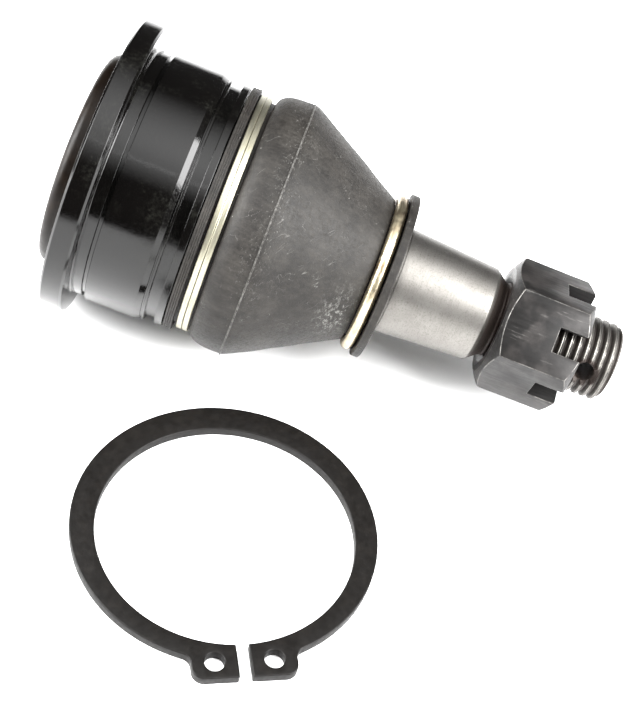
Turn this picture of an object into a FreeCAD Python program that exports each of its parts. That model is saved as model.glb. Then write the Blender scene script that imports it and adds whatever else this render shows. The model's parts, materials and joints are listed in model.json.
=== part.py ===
"""Press-in suspension ball joint with its castle nut and its loose snap ring, lying on a bench.

The joint's own axis runs from the closing cover to the thread. Stations are measured along it from the
crown of the cover, so every station is zero or more. Each turned piece is drawn in a half section, with
station along X and radius along Y, and revolved about X. The row frame has its origin at the ball's centre
and +Z up. The joint lies on the rim of its flange and on the fold of its boot, so its nose points down a
little, and the snap ring lies flat beside it.
"""
import FreeCAD, Part
import math
import os
import re
import Sketcher
from FreeCAD import Placement, Rotation, Vector

os.makedirs("parts", exist_ok=True)
doc = FreeCAD.newDocument("ball_joint")

# Driving sizes, in millimetres and degrees
SIZES = {
    "cover_dia": (37.6, "closing cover, outside"),
    "cover_rise": (3.8, "how far the cover stands out of the flange"),
    "cover_crown": (0.5, "rise of the cover's dome over its shoulder"),
    "cover_edge": (1.6, "rounding of the cover's edge"),
    "cover_wall": (1.8, "thickness of the cover at its middle"),
    "spigot_depth": (2.0, "depth of the cover's spigot in the housing"),
    "spigot_wall": (1.5, "wall of the cover's spigot"),
    "flange_dia": (52.4, "flange that stops the housing in its arm"),
    "flange_thick": (3.9, "flange thickness"),
    "flange_chamfer": (0.4, "chamfer on both rims of the flange"),
    "root_dia": (44.2, "land between the flange and the relief"),
    "root_len": (2.2, "length of that land"),
    "relief_dia": (43.2, "relief groove at the root of the press seat"),
    "relief_len": (0.7, "width of the relief groove"),
    "press_dia": (45.0, "press seat"),
    "press_len": (8.8, "length of the press seat"),
    "lead_dia": (44.2, "small end of the lead-in bevel"),
    "bevel_len": (1.0, "length of the lead-in bevel"),
    "lead_len": (0.7, "land between the bevel and the ring groove"),
    "step_depth": (0.25, "fine step where the bevel ends"),
    "step_len": (0.3, "width of that step"),
    "ring_groove_dia": (42.4, "snap ring groove, across its floor"),
    "ring_groove_len": (1.9, "width of the snap ring groove"),
    "collar_dia": (44.2, "collar past the ring groove"),
    "collar_len": (1.35, "length of the collar"),
    "boot_neck_dia": (37.0, "neck that the boot is clamped on"),
    "boot_neck_len": (4.1, "length of that neck"),
    "mouth_room": (0.1, "how far the mouth that the stud comes out of is wider than the ball, in radius"),
    "mouth_rise": (2.6, "how far the mouth widens to the housing's end face, in radius"),
    "ball_dia": (23.0, "ball"),
    "flat_depth": (0.9, "depth of the flat on the ball's back"),
    "film": (0.15, "play between the ball and its bearings"),
    "fit_gap": (0.1, "play of each bearing in the housing, and of other close fits"),
    "soft_gap": (0.2, "play between rubber and what it seats on"),
    "bearing_wall": (2.85, "both bearings beside the ball"),
    "upper_wall": (1.2, "upper bearing behind the ball"),
    "lower_wall": (1.0, "lower bearing past its contact with the ball"),
    "lower_seat_reach": (5.4, "how far the lower bearing wraps past the ball's centre"),
    "spring_room": (1.15, "room for the preload spring between the cover and the upper bearing"),
    "spring_thick": (0.5, "thickness of the preload spring"),
    "spring_bore": (11.0, "hole in the preload spring"),
    "spring_dia": (24.0, "preload spring, outside"),
    "neck_dia": (12.0, "neck of the stud behind the ball"),
    "neck_reach": (18.0, "from the ball's centre to the end of the neck"),
    "flare_reach": (24.0, "from the ball's centre to the start of the boot seat"),
    "boot_seat_dia": (18.8, "part of the stud that the boot's small end sits on"),
    "taper_reach": (42.6, "from the ball's centre to the big end of the taper"),
    "taper_dia": (19.0, "big end of the taper"),
    "taper_len": (16.4, "length of the taper"),
    "taper_ratio": (8.0, "length over which the taper loses one millimetre of diameter"),
    "shoulder_len": (2.2, "chamfer between the taper and the thread"),
    "thread_dia": (14.0, "thread, outside"),
    "thread_len": (22.3, "length of the thread"),
    "thread_chamfer": (0.9, "chamfer on the end of the thread"),
    "nut_gap": (0.5, "thread left bare between the stud's cone and the nut"),
    "cotter_dia": (3.5, "cross hole for a cotter pin"),
    "cotter_sink": (0.85, "countersink of the cross hole"),
    "cotter_land": (1.3, "thread left whole between that countersink and the end chamfer"),
    "cotter_turn": (16.0, "how far the cross hole is turned up from level"),
    "boot_lip_len": (1.5, "length of the boot's lip against the collar"),
    "boot_lip_wall": (1.8, "rubber between the neck and the groove for the flat wire clip"),
    "boot_lip_high": (1.5, "how far the lip stands over the floor of that groove"),
    "boot_shoulder_high": (1.7, "how far the boot's shoulder stands over the same floor"),
    "boot_fold_high": (0.25, "height of the mould line round the widest part of the boot"),
    "boot_shoulder_len": (6.4, "from the clip groove to the mould line"),
    "boot_swell_len": (2.9, "from the clip groove to where the shoulder is full"),
    "boot_swell_round": (6.0, "rounding of the shoulder beside the clip"),
    "boot_bend_len": (5.6, "from the mould line to the start of the straight cone"),
    "boot_bend_drop": (1.2, "fall of the radius over that bend"),
    "boot_bend_round": (15.0, "rounding of that bend"),
    "boot_cone_end": (26.0, "boot's cone at its small end"),
    "boot_cone_len": (18.6, "from the mould line to the small end of the cone"),
    "boot_wall": (2.0, "wall of the boot"),
    "boot_inner_ahead": (0.8, "how far the bend starts earlier inside the boot"),
    "boot_ring_floor": (24.2, "groove for the round wire ring, across its floor"),
    "boot_ring_len": (2.6, "width of that groove"),
    "boot_end_dia": (29.9, "lip at the boot's small end"),
    "boot_end_len": (1.4, "thickness of that lip"),
    "clip_wire_wide": (0.98, "flat wire of the clip, along the axis"),
    "clip_wire_high": (0.8, "the same wire, radially"),
    "clip_space": (0.07, "space between the clip's turns"),
    "clip_turns": (1.8, "turns of the clip"),
    "clip_room": (0.065, "play of the clip at each wall of its groove"),
    "end_wire_dia": (2.1, "wire of the ring at the boot's small end"),
    "nut_flats": (21.0, "castle nut across its flats"),
    "nut_height": (14.7, "castle nut height"),
    "nut_clearance": (0.06, "radial play of the nut on its thread"),
    "nut_base_chamfer": (1.5, "chamfer of the nut's corners at its seat"),
    "nut_base_slope": (31.5, "angle of that chamfer to the nut's end face"),
    "nut_crown_chamfer": (1.4, "chamfer of the nut's corners at its crown"),
    "nut_crown_slope": (40.0, "angle of that chamfer to the nut's end face"),
    "nut_slot_wide": (4.4, "slot width"),
    "nut_slot_deep": (5.2, "slot depth"),
    "nut_slots": (6.0, "number of slots"),
    "nut_sink": (0.9, "countersink of the nut's bore, at both ends"),
    "nut_turn": (46.0, "how far the nearest flat is turned up from level"),
    "snap_outer": (50.0, "snap ring when free, outside"),
    "snap_band": (3.9, "width of the snap ring's band at its sides"),
    "snap_offset": (0.9, "shift of the outside, which makes the back wide and the lug ends narrow"),
    "snap_thick": (1.75, "snap ring thickness"),
    "snap_gap": (2.0, "gap between the lugs"),
    "lug_high": (5.7, "lug, from the bore outwards"),
    "lug_wide": (7.2, "lug, along the ring"),
    "lug_round": (2.0, "rounding of the lug's outer corner"),
    "lug_fillet": (1.8, "fillet between the lug and the ring"),
    "plier_hole": (3.1, "hole for the pliers"),
    "snap_aside": (48.9, "from the joint's axis to the snap ring's centre, sideways"),
    "snap_ahead": (27.6, "from the ball's centre to the snap ring's centre, forwards"),
    "snap_bearing": (22.0, "how far the gap is turned forwards from straight aside"),
    "overcut": (1.0, "how far a cut runs past its piece"),
}

sheet = doc.addObject("Spreadsheet::Sheet", "Sizes")
for row, (alias, (value, note)) in enumerate(SIZES.items(), start=1):
    sheet.set(f"A{row}", note)
    sheet.set(f"B{row}", str(value))
    sheet.setAlias(f"B{row}", alias)
doc.recompute()


def size(alias):
    """A driving size as a number."""
    return float(sheet.get(alias))


def named(words):
    """An expression in plain aliases, with the sheet's name put before each of them."""
    return re.sub("[a-z_]+", lambda word: f"Sizes.{word[0]}" if word[0] in SIZES else word[0], words)


def value(words):
    """The number that an expression in plain aliases stands for."""
    return float(sheet.evalExpression(named(words)))


# Stations along the axis, as expressions in the driving sizes
FLANGE_BACK = "cover_rise"
FLANGE_FRONT = f"{FLANGE_BACK} + flange_thick"
RELIEF_START = f"{FLANGE_FRONT} + root_len"
PRESS_START = f"{RELIEF_START} + relief_len"
PRESS_END = f"{PRESS_START} + press_len"
BEVEL_END = f"{PRESS_END} + bevel_len"
GROOVE_START = f"{BEVEL_END} + lead_len"
GROOVE_END = f"{GROOVE_START} + ring_groove_len"
COLLAR_END = f"{GROOVE_END} + collar_len"
HOUSING_END = f"{COLLAR_END} + boot_neck_len"
SPIGOT_END = f"{FLANGE_BACK} + spigot_depth"
COVER_INSIDE = "cover_crown + cover_wall"
BEARING_BACK = f"{COVER_INSIDE} + spring_room"
BALL = f"{BEARING_BACK} + upper_wall + film + ball_dia / 2"
LOWER_REACH = f"{BALL} + lower_seat_reach"
LOWER_END = f"{LOWER_REACH} + lower_wall"
TAPER_START = f"{BALL} + taper_reach"
TAPER_END = f"{TAPER_START} + taper_len"
TAPER_END_RADIUS = "( taper_dia / 2 - taper_len / taper_ratio / 2 )"
THREAD_START = f"{TAPER_END} + shoulder_len"
THREAD_END = f"{THREAD_START} + thread_len"
NUT_START = f"{THREAD_START} + nut_gap"
BOOT_START = f"{COLLAR_END} + soft_gap"
CLIP_GROOVE = f"{BOOT_START} + boot_lip_len"
CLIP_PITCH = "( clip_wire_wide + clip_space )"
CLIP_GROOVE_END = f"{CLIP_GROOVE} + clip_turns * {CLIP_PITCH} + clip_wire_wide + 2 * clip_room"
FOLD = f"{CLIP_GROOVE_END} + boot_shoulder_len"
CONE_END = f"{FOLD} + boot_cone_len"
RING_GROOVE_END = f"{CONE_END} + boot_ring_len"
BOOT_END = f"{RING_GROOVE_END} + boot_end_len"

# Radii that more than one piece takes, and the place where the housing's thrust cone starts
SEAT_RADIUS = "( ball_dia / 2 + film )"
BEARING_RADIUS = f"( {SEAT_RADIUS} + bearing_wall )"
BORE_RADIUS = f"( {BEARING_RADIUS} + fit_gap )"
MOUTH_RADIUS = "( ball_dia / 2 + mouth_room )"
BALL_FLAT = "( ball_dia / 2 - flat_depth )"
LOWER_LIP = f"sqrt( {SEAT_RADIUS} ^ 2 - lower_seat_reach ^ 2 )"
THRUST_START = f"{LOWER_END} - ( {BEARING_RADIUS} - {MOUTH_RADIUS} - fit_gap )"
BOOT_NECK = "( boot_neck_dia / 2 + soft_gap )"
CLIP_FLOOR = f"( {BOOT_NECK} + boot_lip_wall )"
SHOULDER = f"( {CLIP_FLOOR} + boot_shoulder_high )"
FOLD_RADIUS = f"( {SHOULDER} + boot_fold_high )"

# Places on the snap ring, measured from its centre along and across the lugs
SNAP_BORE = "( snap_outer / 2 - snap_band )"
LUG_TIP = f"( {SNAP_BORE} + lug_high )"
LUG_SIDE = "( lug_wide + snap_gap / 2 )"
LUG_ROOT = f"sqrt( ( snap_outer / 2 ) ^ 2 - {LUG_SIDE} ^ 2 ) - snap_offset"

# Points that are closer than this count as one, and an edge is tried at this many points
TOUCH = 1e-3
EDGE_POINTS = 9


def origin_plane(body, role):
    """One of a body's own origin planes."""
    return next(feature for feature in body.Origin.OriginFeatures if feature.Role == role)


def new_body(label):
    """An empty body whose label names its file."""
    body = doc.addObject("PartDesign::Body", label)
    body.Label = label
    return body


def new_sketch(body, name, role):
    """A sketch on one of the body's origin planes."""
    sketch = body.newObject("Sketcher::SketchObject", name)
    sketch.AttachmentSupport = (origin_plane(body, role), [""])
    sketch.MapMode = "FlatFace"
    return sketch


def bind_point(sketch, edge, end, across, up):
    """Ties a sketch point to two expressions, or to an axis where an expression is zero."""
    for words, kind, axis in ((across, "DistanceX", -2), (up, "DistanceY", -1)):
        if words == "0":
            sketch.addConstraint(Sketcher.Constraint("PointOnObject", edge, end, axis))
            continue
        index = sketch.addConstraint(Sketcher.Constraint(kind, -1, 1, edge, end, value(words)))
        sketch.setExpression(f"Constraints[{index}]", named(words))


def arc_between(start, finish, radius, bulge):
    """An arc between two points; bulge 1 keeps its centre on the left of the way, -1 on the right."""
    middle = (start + finish) * 0.5
    chord = finish - start
    sideways = Vector(-chord.y, chord.x, 0).normalize() * bulge
    centre = middle + sideways * math.sqrt(max(radius ** 2 - (chord.Length / 2) ** 2, 0.0))
    first = math.atan2(start.y - centre.y, start.x - centre.x)
    last = math.atan2(finish.y - centre.y, finish.x - centre.x)
    if bulge < 0:
        first, last = last, first
    return Part.ArcOfCircle(Part.Circle(centre, Vector(0, 0, 1), radius), first, last)


def draw_outline(sketch, corners):
    """Draws a closed outline of corners (across, up), with (radius, bulge) added where an arc leaves one."""
    points = [Vector(value(corner[0]), value(corner[1]), 0) for corner in corners]
    starts = []
    for index, corner in enumerate(corners):
        following = points[(index + 1) % len(points)]
        if len(corner) == 2:
            edge = sketch.addGeometry(Part.LineSegment(points[index], following), False)
            starts.append((edge, 1, 2))
            continue
        radius, bulge = corner[2:]
        arc = arc_between(points[index], following, value(radius), bulge)
        edge = sketch.addGeometry(arc, False)
        starts.append((edge, 1, 2) if bulge > 0 else (edge, 2, 1))
    for index, corner in enumerate(corners):
        edge, begin, end = starts[index]
        following, next_begin, _ = starts[(index + 1) % len(starts)]
        sketch.addConstraint(Sketcher.Constraint("Coincident", edge, end, following, next_begin))
        bind_point(sketch, edge, begin, corner[0], corner[1])
        if len(corner) == 4:
            radius = sketch.addConstraint(Sketcher.Constraint("Radius", edge, value(corner[2])))
            sketch.setExpression(f"Constraints[{radius}]", named(corner[2]))


def draw_circle(sketch, across, up, radius):
    """Draws a circle whose centre and radius are bound to expressions."""
    centre = Vector(value(across), value(up), 0)
    circle = sketch.addGeometry(Part.Circle(centre, Vector(0, 0, 1), value(radius)), False)
    bind_point(sketch, circle, 3, across, up)
    index = sketch.addConstraint(Sketcher.Constraint("Radius", circle, value(radius)))
    sketch.setExpression(f"Constraints[{index}]", named(radius))


def revolve(body, name, corners):
    """A turned solid from its half section."""
    sketch = new_sketch(body, f"{name}_section", "XY_Plane")
    draw_outline(sketch, corners)
    doc.recompute()
    turned = body.newObject("PartDesign::Revolution", name)
    turned.Profile = sketch
    turned.ReferenceAxis = (sketch, ["H_Axis"])
    turned.Angle = 360.0
    sketch.Visibility = False
    doc.recompute()


def groove(body, name, corners):
    """Turns a half section away from the body."""
    before = body.Shape.Volume
    sketch = new_sketch(body, f"{name}_section", "XY_Plane")
    draw_outline(sketch, corners)
    doc.recompute()
    cut = body.newObject("PartDesign::Groove", name)
    cut.Profile = sketch
    cut.ReferenceAxis = (sketch, ["H_Axis"])
    cut.Angle = 360.0
    doc.recompute()
    if body.Shape.Volume >= before:
        raise RuntimeError(f"{name} cuts nothing")


def pocket(body, name, sketch, length=None):
    """Cuts a sketch away from the body: right through both ways, or to a length."""
    doc.recompute()
    before = body.Shape.Volume
    cut = body.newObject("PartDesign::Pocket", name)
    cut.Profile = sketch
    if length:
        cut.setExpression("Length", named(length))
    else:
        cut.Type = "ThroughAll"
        cut.Midplane = True
    doc.recompute()
    if body.Shape.Volume >= before:
        raise RuntimeError(f"{name} cuts nothing")
    return cut


def pad(body, name, sketch, length):
    """Raises a sketch to a solid."""
    doc.recompute()
    raised = body.newObject("PartDesign::Pad", name)
    raised.Profile = sketch
    raised.setExpression("Length", named(length))
    doc.recompute()


def cover_plate():
    """Pressed cover with a low dome, a rounded edge and a spigot that the housing is rolled onto."""
    body = new_body("cover_plate")
    edge = "cover_dia / 2"
    dome = "( ( cover_dia / 2 - cover_edge ) ^ 2 + cover_crown ^ 2 ) / ( 2 * cover_crown )"
    spigot = f"{BORE_RADIUS} + fit_gap"
    revolve(body, "cover_form", [
        ("0", "0", dome, -1),
        ("cover_crown", f"{edge} - cover_edge", "cover_edge", -1),
        ("cover_crown + cover_edge", edge),
        (FLANGE_BACK, edge),
        (FLANGE_BACK, f"{spigot} + spigot_wall"),
        (SPIGOT_END, f"{spigot} + spigot_wall"),
        (SPIGOT_END, spigot),
        (COVER_INSIDE, spigot),
        (COVER_INSIDE, "0"),
    ])
    return body


def housing():
    """Forged and turned housing: flange, press seat, snap ring groove, collar and boot neck."""
    body = new_body("housing")
    spigot_bore = f"{BORE_RADIUS} + 2 * fit_gap + spigot_wall"
    revolve(body, "housing_form", [
        (FLANGE_BACK, spigot_bore),
        (FLANGE_BACK, "flange_dia / 2 - flange_chamfer"),
        (f"{FLANGE_BACK} + flange_chamfer", "flange_dia / 2"),
        (f"{FLANGE_FRONT} - flange_chamfer", "flange_dia / 2"),
        (FLANGE_FRONT, "flange_dia / 2 - flange_chamfer"),
        (FLANGE_FRONT, "root_dia / 2"),
        (RELIEF_START, "root_dia / 2"),
        (RELIEF_START, "relief_dia / 2"),
        (PRESS_START, "relief_dia / 2"),
        (PRESS_START, "press_dia / 2"),
        (PRESS_END, "press_dia / 2"),
        (BEVEL_END, "lead_dia / 2"),
        (BEVEL_END, "lead_dia / 2 - step_depth"),
        (f"{BEVEL_END} + step_len", "lead_dia / 2 - step_depth"),
        (f"{BEVEL_END} + step_len", "lead_dia / 2"),
        (GROOVE_START, "lead_dia / 2"),
        (GROOVE_START, "ring_groove_dia / 2"),
        (GROOVE_END, "ring_groove_dia / 2"),
        (GROOVE_END, "collar_dia / 2"),
        (COLLAR_END, "collar_dia / 2"),
        (COLLAR_END, "boot_neck_dia / 2"),
        (HOUSING_END, "boot_neck_dia / 2"),
        (HOUSING_END, f"{MOUTH_RADIUS} + mouth_rise"),
        (LOWER_END, MOUTH_RADIUS),
        (THRUST_START, BORE_RADIUS),
        (f"{SPIGOT_END} + fit_gap", BORE_RADIUS),
        (f"{SPIGOT_END} + fit_gap", spigot_bore),
    ])
    return body


def upper_bearing():
    """Bearing cup that is pressed onto the back of the ball."""
    body = new_body("upper_bearing")
    back_hole = f"sqrt( {SEAT_RADIUS} ^ 2 - {BALL_FLAT} ^ 2 )"
    revolve(body, "upper_form", [
        (BEARING_BACK, back_hole),
        (BEARING_BACK, f"{BEARING_RADIUS} - upper_wall"),
        (f"{BEARING_BACK} + upper_wall", BEARING_RADIUS),
        (f"{BALL} - fit_gap", BEARING_RADIUS),
        (f"{BALL} - fit_gap", SEAT_RADIUS, SEAT_RADIUS, 1),
        (f"{BALL} - {BALL_FLAT}", back_hole),
    ])
    return body


def lower_bearing():
    """Bearing ring that carries the ball against the housing's mouth."""
    body = new_body("lower_bearing")
    revolve(body, "lower_form", [
        (f"{BALL} + fit_gap", SEAT_RADIUS),
        (f"{BALL} + fit_gap", BEARING_RADIUS),
        (f"{THRUST_START} - fit_gap", BEARING_RADIUS),
        (f"{LOWER_END} - 2 * fit_gap", MOUTH_RADIUS),
        (LOWER_REACH, LOWER_LIP, SEAT_RADIUS, 1),
    ])
    return body


def preload_spring():
    """Dished washer between the cover and the upper bearing."""
    body = new_body("preload_spring")
    inner = "spring_bore / 2"
    outer = "spring_dia / 2"
    front = f"{COVER_INSIDE} + fit_gap / 2"
    back = f"{BEARING_BACK} - fit_gap / 2"
    revolve(body, "spring_form", [
        (front, inner),
        (f"{front} + spring_thick", inner),
        (back, outer),
        (f"{back} - spring_thick", outer),
    ])
    return body


def ball_stud():
    """Ball, neck, boot seat, taper and thread in one forging, with a cross hole for a cotter pin."""
    body = new_body("ball_stud")
    ball_radius = "( ball_dia / 2 )"
    neck = "( neck_dia / 2 )"
    flat_radius = f"sqrt( {ball_radius} ^ 2 - {BALL_FLAT} ^ 2 )"
    flare = "( boot_seat_dia / 2 - neck_dia / 2 )"
    flare_round = f"( ( flare_reach - neck_reach ) ^ 2 + {flare} ^ 2 ) / ( 2 * {flare} )"
    revolve(body, "stud_form", [
        (f"{BALL} - {BALL_FLAT}", "0"),
        (f"{BALL} - {BALL_FLAT}", flat_radius, "ball_dia / 2", -1),
        (f"{BALL} + sqrt( {ball_radius} ^ 2 - {neck} ^ 2 )", neck),
        (f"{BALL} + neck_reach", neck, flare_round, 1),
        (f"{BALL} + flare_reach", "boot_seat_dia / 2"),
        (TAPER_START, "boot_seat_dia / 2"),
        (TAPER_START, "taper_dia / 2"),
        (TAPER_END, TAPER_END_RADIUS),
        (THREAD_START, "thread_dia / 2"),
        (f"{THREAD_END} - thread_chamfer", "thread_dia / 2"),
        (THREAD_END, "thread_dia / 2 - thread_chamfer"),
        (THREAD_END, "0"),
    ])
    return body


def cross_hole(body):
    """Drills the cotter hole through the thread and countersinks both of its mouths."""
    station = f"{THREAD_END} - thread_chamfer - cotter_land - cotter_sink - cotter_dia / 2"
    sketch = new_sketch(body, "cotter_circle", "XY_Plane")
    draw_circle(sketch, station, "0", "cotter_dia / 2")
    hole = pocket(body, "cotter_hole", sketch)
    middle = Vector(value(station), 0, 0)
    radius = value("cotter_dia / 2")
    mouths = []
    for index, edge in enumerate(hole.Shape.Edges, start=1):
        points = [point - middle for point in edge.discretize(EDGE_POINTS)]
        round_the_hole = max(abs(math.hypot(point.x, point.y) - radius) for point in points) < TOUCH
        if round_the_hole and min(abs(point.z) for point in points) > radius:
            mouths.append(f"Edge{index}")
    sink = body.newObject("PartDesign::Chamfer", "cotter_countersink")
    sink.Base = (hole, mouths)
    sink.setExpression("Size", named("cotter_sink"))
    doc.recompute()
    if body.Shape.Volume >= hole.Shape.Volume:
        raise RuntimeError("the countersink cuts nothing")


def dust_boot():
    """Rubber boot: lip, clip groove, rounded shoulder with a mould line, cone, ring groove and end lip."""
    body = new_body("dust_boot")
    lip = f"{CLIP_FLOOR} + boot_lip_high"
    stud_bore = "boot_seat_dia / 2 + soft_gap"
    inside = f"{SHOULDER} - boot_wall"
    nub = "boot_fold_high"
    bend_end = f"{FOLD} + boot_bend_len"
    bend_radius = f"{SHOULDER} - boot_bend_drop"
    revolve(body, "boot_form", [
        (BOOT_START, BOOT_NECK),
        (BOOT_START, lip),
        (CLIP_GROOVE, lip),
        (CLIP_GROOVE, CLIP_FLOOR),
        (CLIP_GROOVE_END, CLIP_FLOOR),
        (f"{CLIP_GROOVE_END} + {nub}", f"{SHOULDER} - {nub}", "boot_swell_round", -1),
        (f"{CLIP_GROOVE_END} + boot_swell_len", SHOULDER),
        (f"{FOLD} - {nub}", SHOULDER),
        (FOLD, FOLD_RADIUS),
        (f"{FOLD} + {nub}", SHOULDER, "boot_bend_round", -1),
        (bend_end, bend_radius),
        (CONE_END, "boot_cone_end / 2"),
        (CONE_END, "boot_ring_floor / 2"),
        (RING_GROOVE_END, "boot_ring_floor / 2"),
        (RING_GROOVE_END, "boot_end_dia / 2"),
        (BOOT_END, "boot_end_dia / 2"),
        (BOOT_END, stud_bore),
        (f"{CONE_END} - boot_wall", stud_bore),
        (f"{bend_end} - boot_inner_ahead", f"{bend_radius} - boot_wall"),
        (f"{FOLD} - {nub}", inside),
        (f"{HOUSING_END} + boot_wall", inside),
        (f"{HOUSING_END} + soft_gap", BOOT_NECK),
    ])
    return body


def boot_clip():
    """Spring clip of flat wire, wound side by side in the groove at the boot's big end."""
    body = new_body("boot_clip")
    sketch = new_sketch(body, "clip_wire", "XY_Plane")
    floor = f"{CLIP_FLOOR} + fit_gap"
    start = f"{CLIP_GROOVE} + clip_room"
    draw_outline(sketch, [
        (start, floor),
        (start, f"{floor} + clip_wire_high"),
        (f"{start} + clip_wire_wide", f"{floor} + clip_wire_high"),
        (f"{start} + clip_wire_wide", floor),
    ])
    doc.recompute()
    coil = body.newObject("PartDesign::AdditiveHelix", "clip_coil")
    coil.Profile = sketch
    coil.ReferenceAxis = (sketch, ["H_Axis"])
    coil.Mode = "pitch-turns-angle"
    coil.setExpression("Pitch", named(CLIP_PITCH))
    coil.setExpression("Turns", named("clip_turns"))
    doc.recompute()
    return body


def end_ring():
    """Round wire ring in the groove at the boot's small end."""
    ring = doc.addObject("Part::Torus", "end_ring")
    ring.Label = "end_ring"
    ring.setExpression("Radius1", named("boot_ring_floor / 2 + fit_gap + end_wire_dia / 2"))
    ring.setExpression("Radius2", named("end_wire_dia / 2"))
    doc.recompute()
    return ring


def castle_nut():
    """Hexagon nut with chamfered corners and six slots cut across its crown, one through each flat."""
    body = new_body("castle_nut")
    corner = "( nut_flats / sqrt( 3 ) )"
    flat = "( nut_flats / 2 )"
    sketch = new_sketch(body, "nut_hexagon", "YZ_Plane")
    outline = [(f"{flat}", f"{corner} / 2"), ("0", corner), (f"-{flat}", f"{corner} / 2"),
               (f"-{flat}", f"-{corner} / 2"), ("0", f"-{corner}"), (f"{flat}", f"-{corner} / 2")]
    draw_outline(sketch, outline)
    pad(body, "nut_prism", sketch, "nut_height")
    bore = "thread_dia / 2 + nut_clearance"
    groove(body, "nut_bore", [
        ("-fit_gap", "0"),
        ("-fit_gap", f"{bore} + nut_sink + fit_gap"),
        ("nut_sink", bore),
        ("nut_height - nut_sink", bore),
        ("nut_height + fit_gap", f"{bore} + nut_sink + fit_gap"),
        ("nut_height + fit_gap", "0"),
    ])
    for end, face, inward, outward in (("base", "0", "+", "-"), ("crown", "nut_height", "-", "+")):
        depth = f"nut_{end}_chamfer"
        slope = f"tan( nut_{end}_slope )"
        groove(body, f"nut_{end}_cone", [
            (f"{face} {inward} ( {depth} + overcut * {slope} )", f"{corner} + overcut"),
            (f"{face} {outward} overcut", f"{corner} + overcut"),
            (f"{face} {outward} overcut", f"{corner} - ( {depth} + overcut ) / {slope}"),
        ])
    return body


def nut_slots(body):
    """Cuts one slot through the crown and repeats it round the nut."""
    sketch = new_sketch(body, "slot_outline", "XZ_Plane")
    draw_outline(sketch, [
        ("nut_height - nut_slot_deep", "nut_slot_wide / 2"),
        ("nut_height + overcut", "nut_slot_wide / 2"),
        ("nut_height + overcut", "-nut_slot_wide / 2"),
        ("nut_height - nut_slot_deep", "-nut_slot_wide / 2"),
    ])
    slot = pocket(body, "nut_slot", sketch, "nut_flats")
    pattern = body.newObject("PartDesign::PolarPattern", "nut_crown")
    pattern.Originals = [slot]
    pattern.Axis = (origin_plane(body, "X_Axis"), [""])
    pattern.Angle = 360.0
    pattern.setExpression("Occurrences", named("nut_slots"))
    body.Tip = pattern
    doc.recompute()


def snap_ring():
    """Disc with a block across its edge, from which the snap ring is cut."""
    body = new_body("snap_ring")
    disc = new_sketch(body, "snap_outline", "XY_Plane")
    draw_circle(disc, "-snap_offset", "0", "snap_outer / 2")
    pad(body, "snap_disc", disc, "snap_thick")
    lugs = new_sketch(body, "lug_outline", "XY_Plane")
    draw_outline(lugs, [
        (f"{SNAP_BORE} - lug_round", f"-{LUG_SIDE}"),
        (LUG_TIP, f"-{LUG_SIDE}"),
        (LUG_TIP, LUG_SIDE),
        (f"{SNAP_BORE} - lug_round", LUG_SIDE),
    ])
    pad(body, "snap_lugs", lugs, "snap_thick")
    return body


def lug_edges(shape, along):
    """Names of the upright edges on the lugs' outer sides, at a distance along the lugs."""
    names = []
    for index, edge in enumerate(shape.Edges, start=1):
        ends = [vertex.Point for vertex in edge.Vertexes]
        upright = len(ends) == 2 and (ends[0] - ends[1]).cross(Vector(0, 0, 1)).Length < TOUCH
        if upright and abs(ends[0].x - along) < TOUCH and abs(abs(ends[0].y) - value(LUG_SIDE)) < TOUCH:
            names.append(f"Edge{index}")
    return names


def finish_snap_ring(body):
    """Rounds the lugs, blends them into the ring, then bores the ring, parts it and drills its lugs."""
    for name, alias, along in (("lug_corners", "lug_round", LUG_TIP), ("lug_roots", "lug_fillet", LUG_ROOT)):
        base = body.Tip
        rounding = body.newObject("PartDesign::Fillet", name)
        rounding.Base = (base, lug_edges(base.Shape, value(along)))
        rounding.setExpression("Radius", named(alias))
        doc.recompute()
    bore = new_sketch(body, "snap_bore_circle", "XY_Plane")
    draw_circle(bore, "0", "0", SNAP_BORE)
    pocket(body, "snap_hollow", bore)
    parting = new_sketch(body, "snap_parting", "XY_Plane")
    draw_outline(parting, [
        ("0", "-snap_gap / 2"),
        (f"{LUG_TIP} + overcut", "-snap_gap / 2"),
        (f"{LUG_TIP} + overcut", "snap_gap / 2"),
        ("0", "snap_gap / 2"),
    ])
    pocket(body, "snap_gap_cut", parting)
    holes = new_sketch(body, "plier_circles", "XY_Plane")
    for sign in ("-", ""):
        aside = f"{sign}( snap_gap + lug_wide ) / 2"
        draw_circle(holes, f"{SNAP_BORE} + lug_high / 2", aside, "plier_hole / 2")
    pocket(body, "plier_holes", holes)


def nose_down():
    """Angle by which the joint points down when its flange rim and the boot's fold both touch the bench."""
    rim_station = value(f"{FLANGE_FRONT} - flange_chamfer")
    drop = size("flange_dia") / 2 - value(FOLD_RADIUS)
    return math.degrees(math.atan2(drop, value(FOLD) - rim_station))


def bench_level():
    """Height of the bench below the ball's centre."""
    lean = math.radians(nose_down())
    reach = value(BALL) - value(f"{FLANGE_FRONT} - flange_chamfer")
    return -(size("flange_dia") / 2 * math.cos(lean) - reach * math.sin(lean))


def lay_on_axis(piece, station=None, roll=0.0, turn=None):
    """Places a piece that was drawn along X: its zero goes to a station on the leaning axis."""
    lean = Rotation(Vector(0, 1, 0), nose_down())
    along = -value(BALL) if station is None else value(station) - value(BALL)
    spin = Rotation(Vector(1, 0, 0), roll)
    piece.Placement = Placement(lean.multVec(Vector(along, 0, 0)), lean * spin * (turn or Rotation()))
    return piece


# The turned pieces of the housing
pieces = [lay_on_axis(make()) for make in (cover_plate, housing, upper_bearing, lower_bearing, preload_spring)]

# The stud. Its cross hole is drilled along the section's Z, which the roll turns towards the front
stud = ball_stud()
cross_hole(stud)
pieces.append(lay_on_axis(stud, roll=90.0 - size("cotter_turn")))

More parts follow.
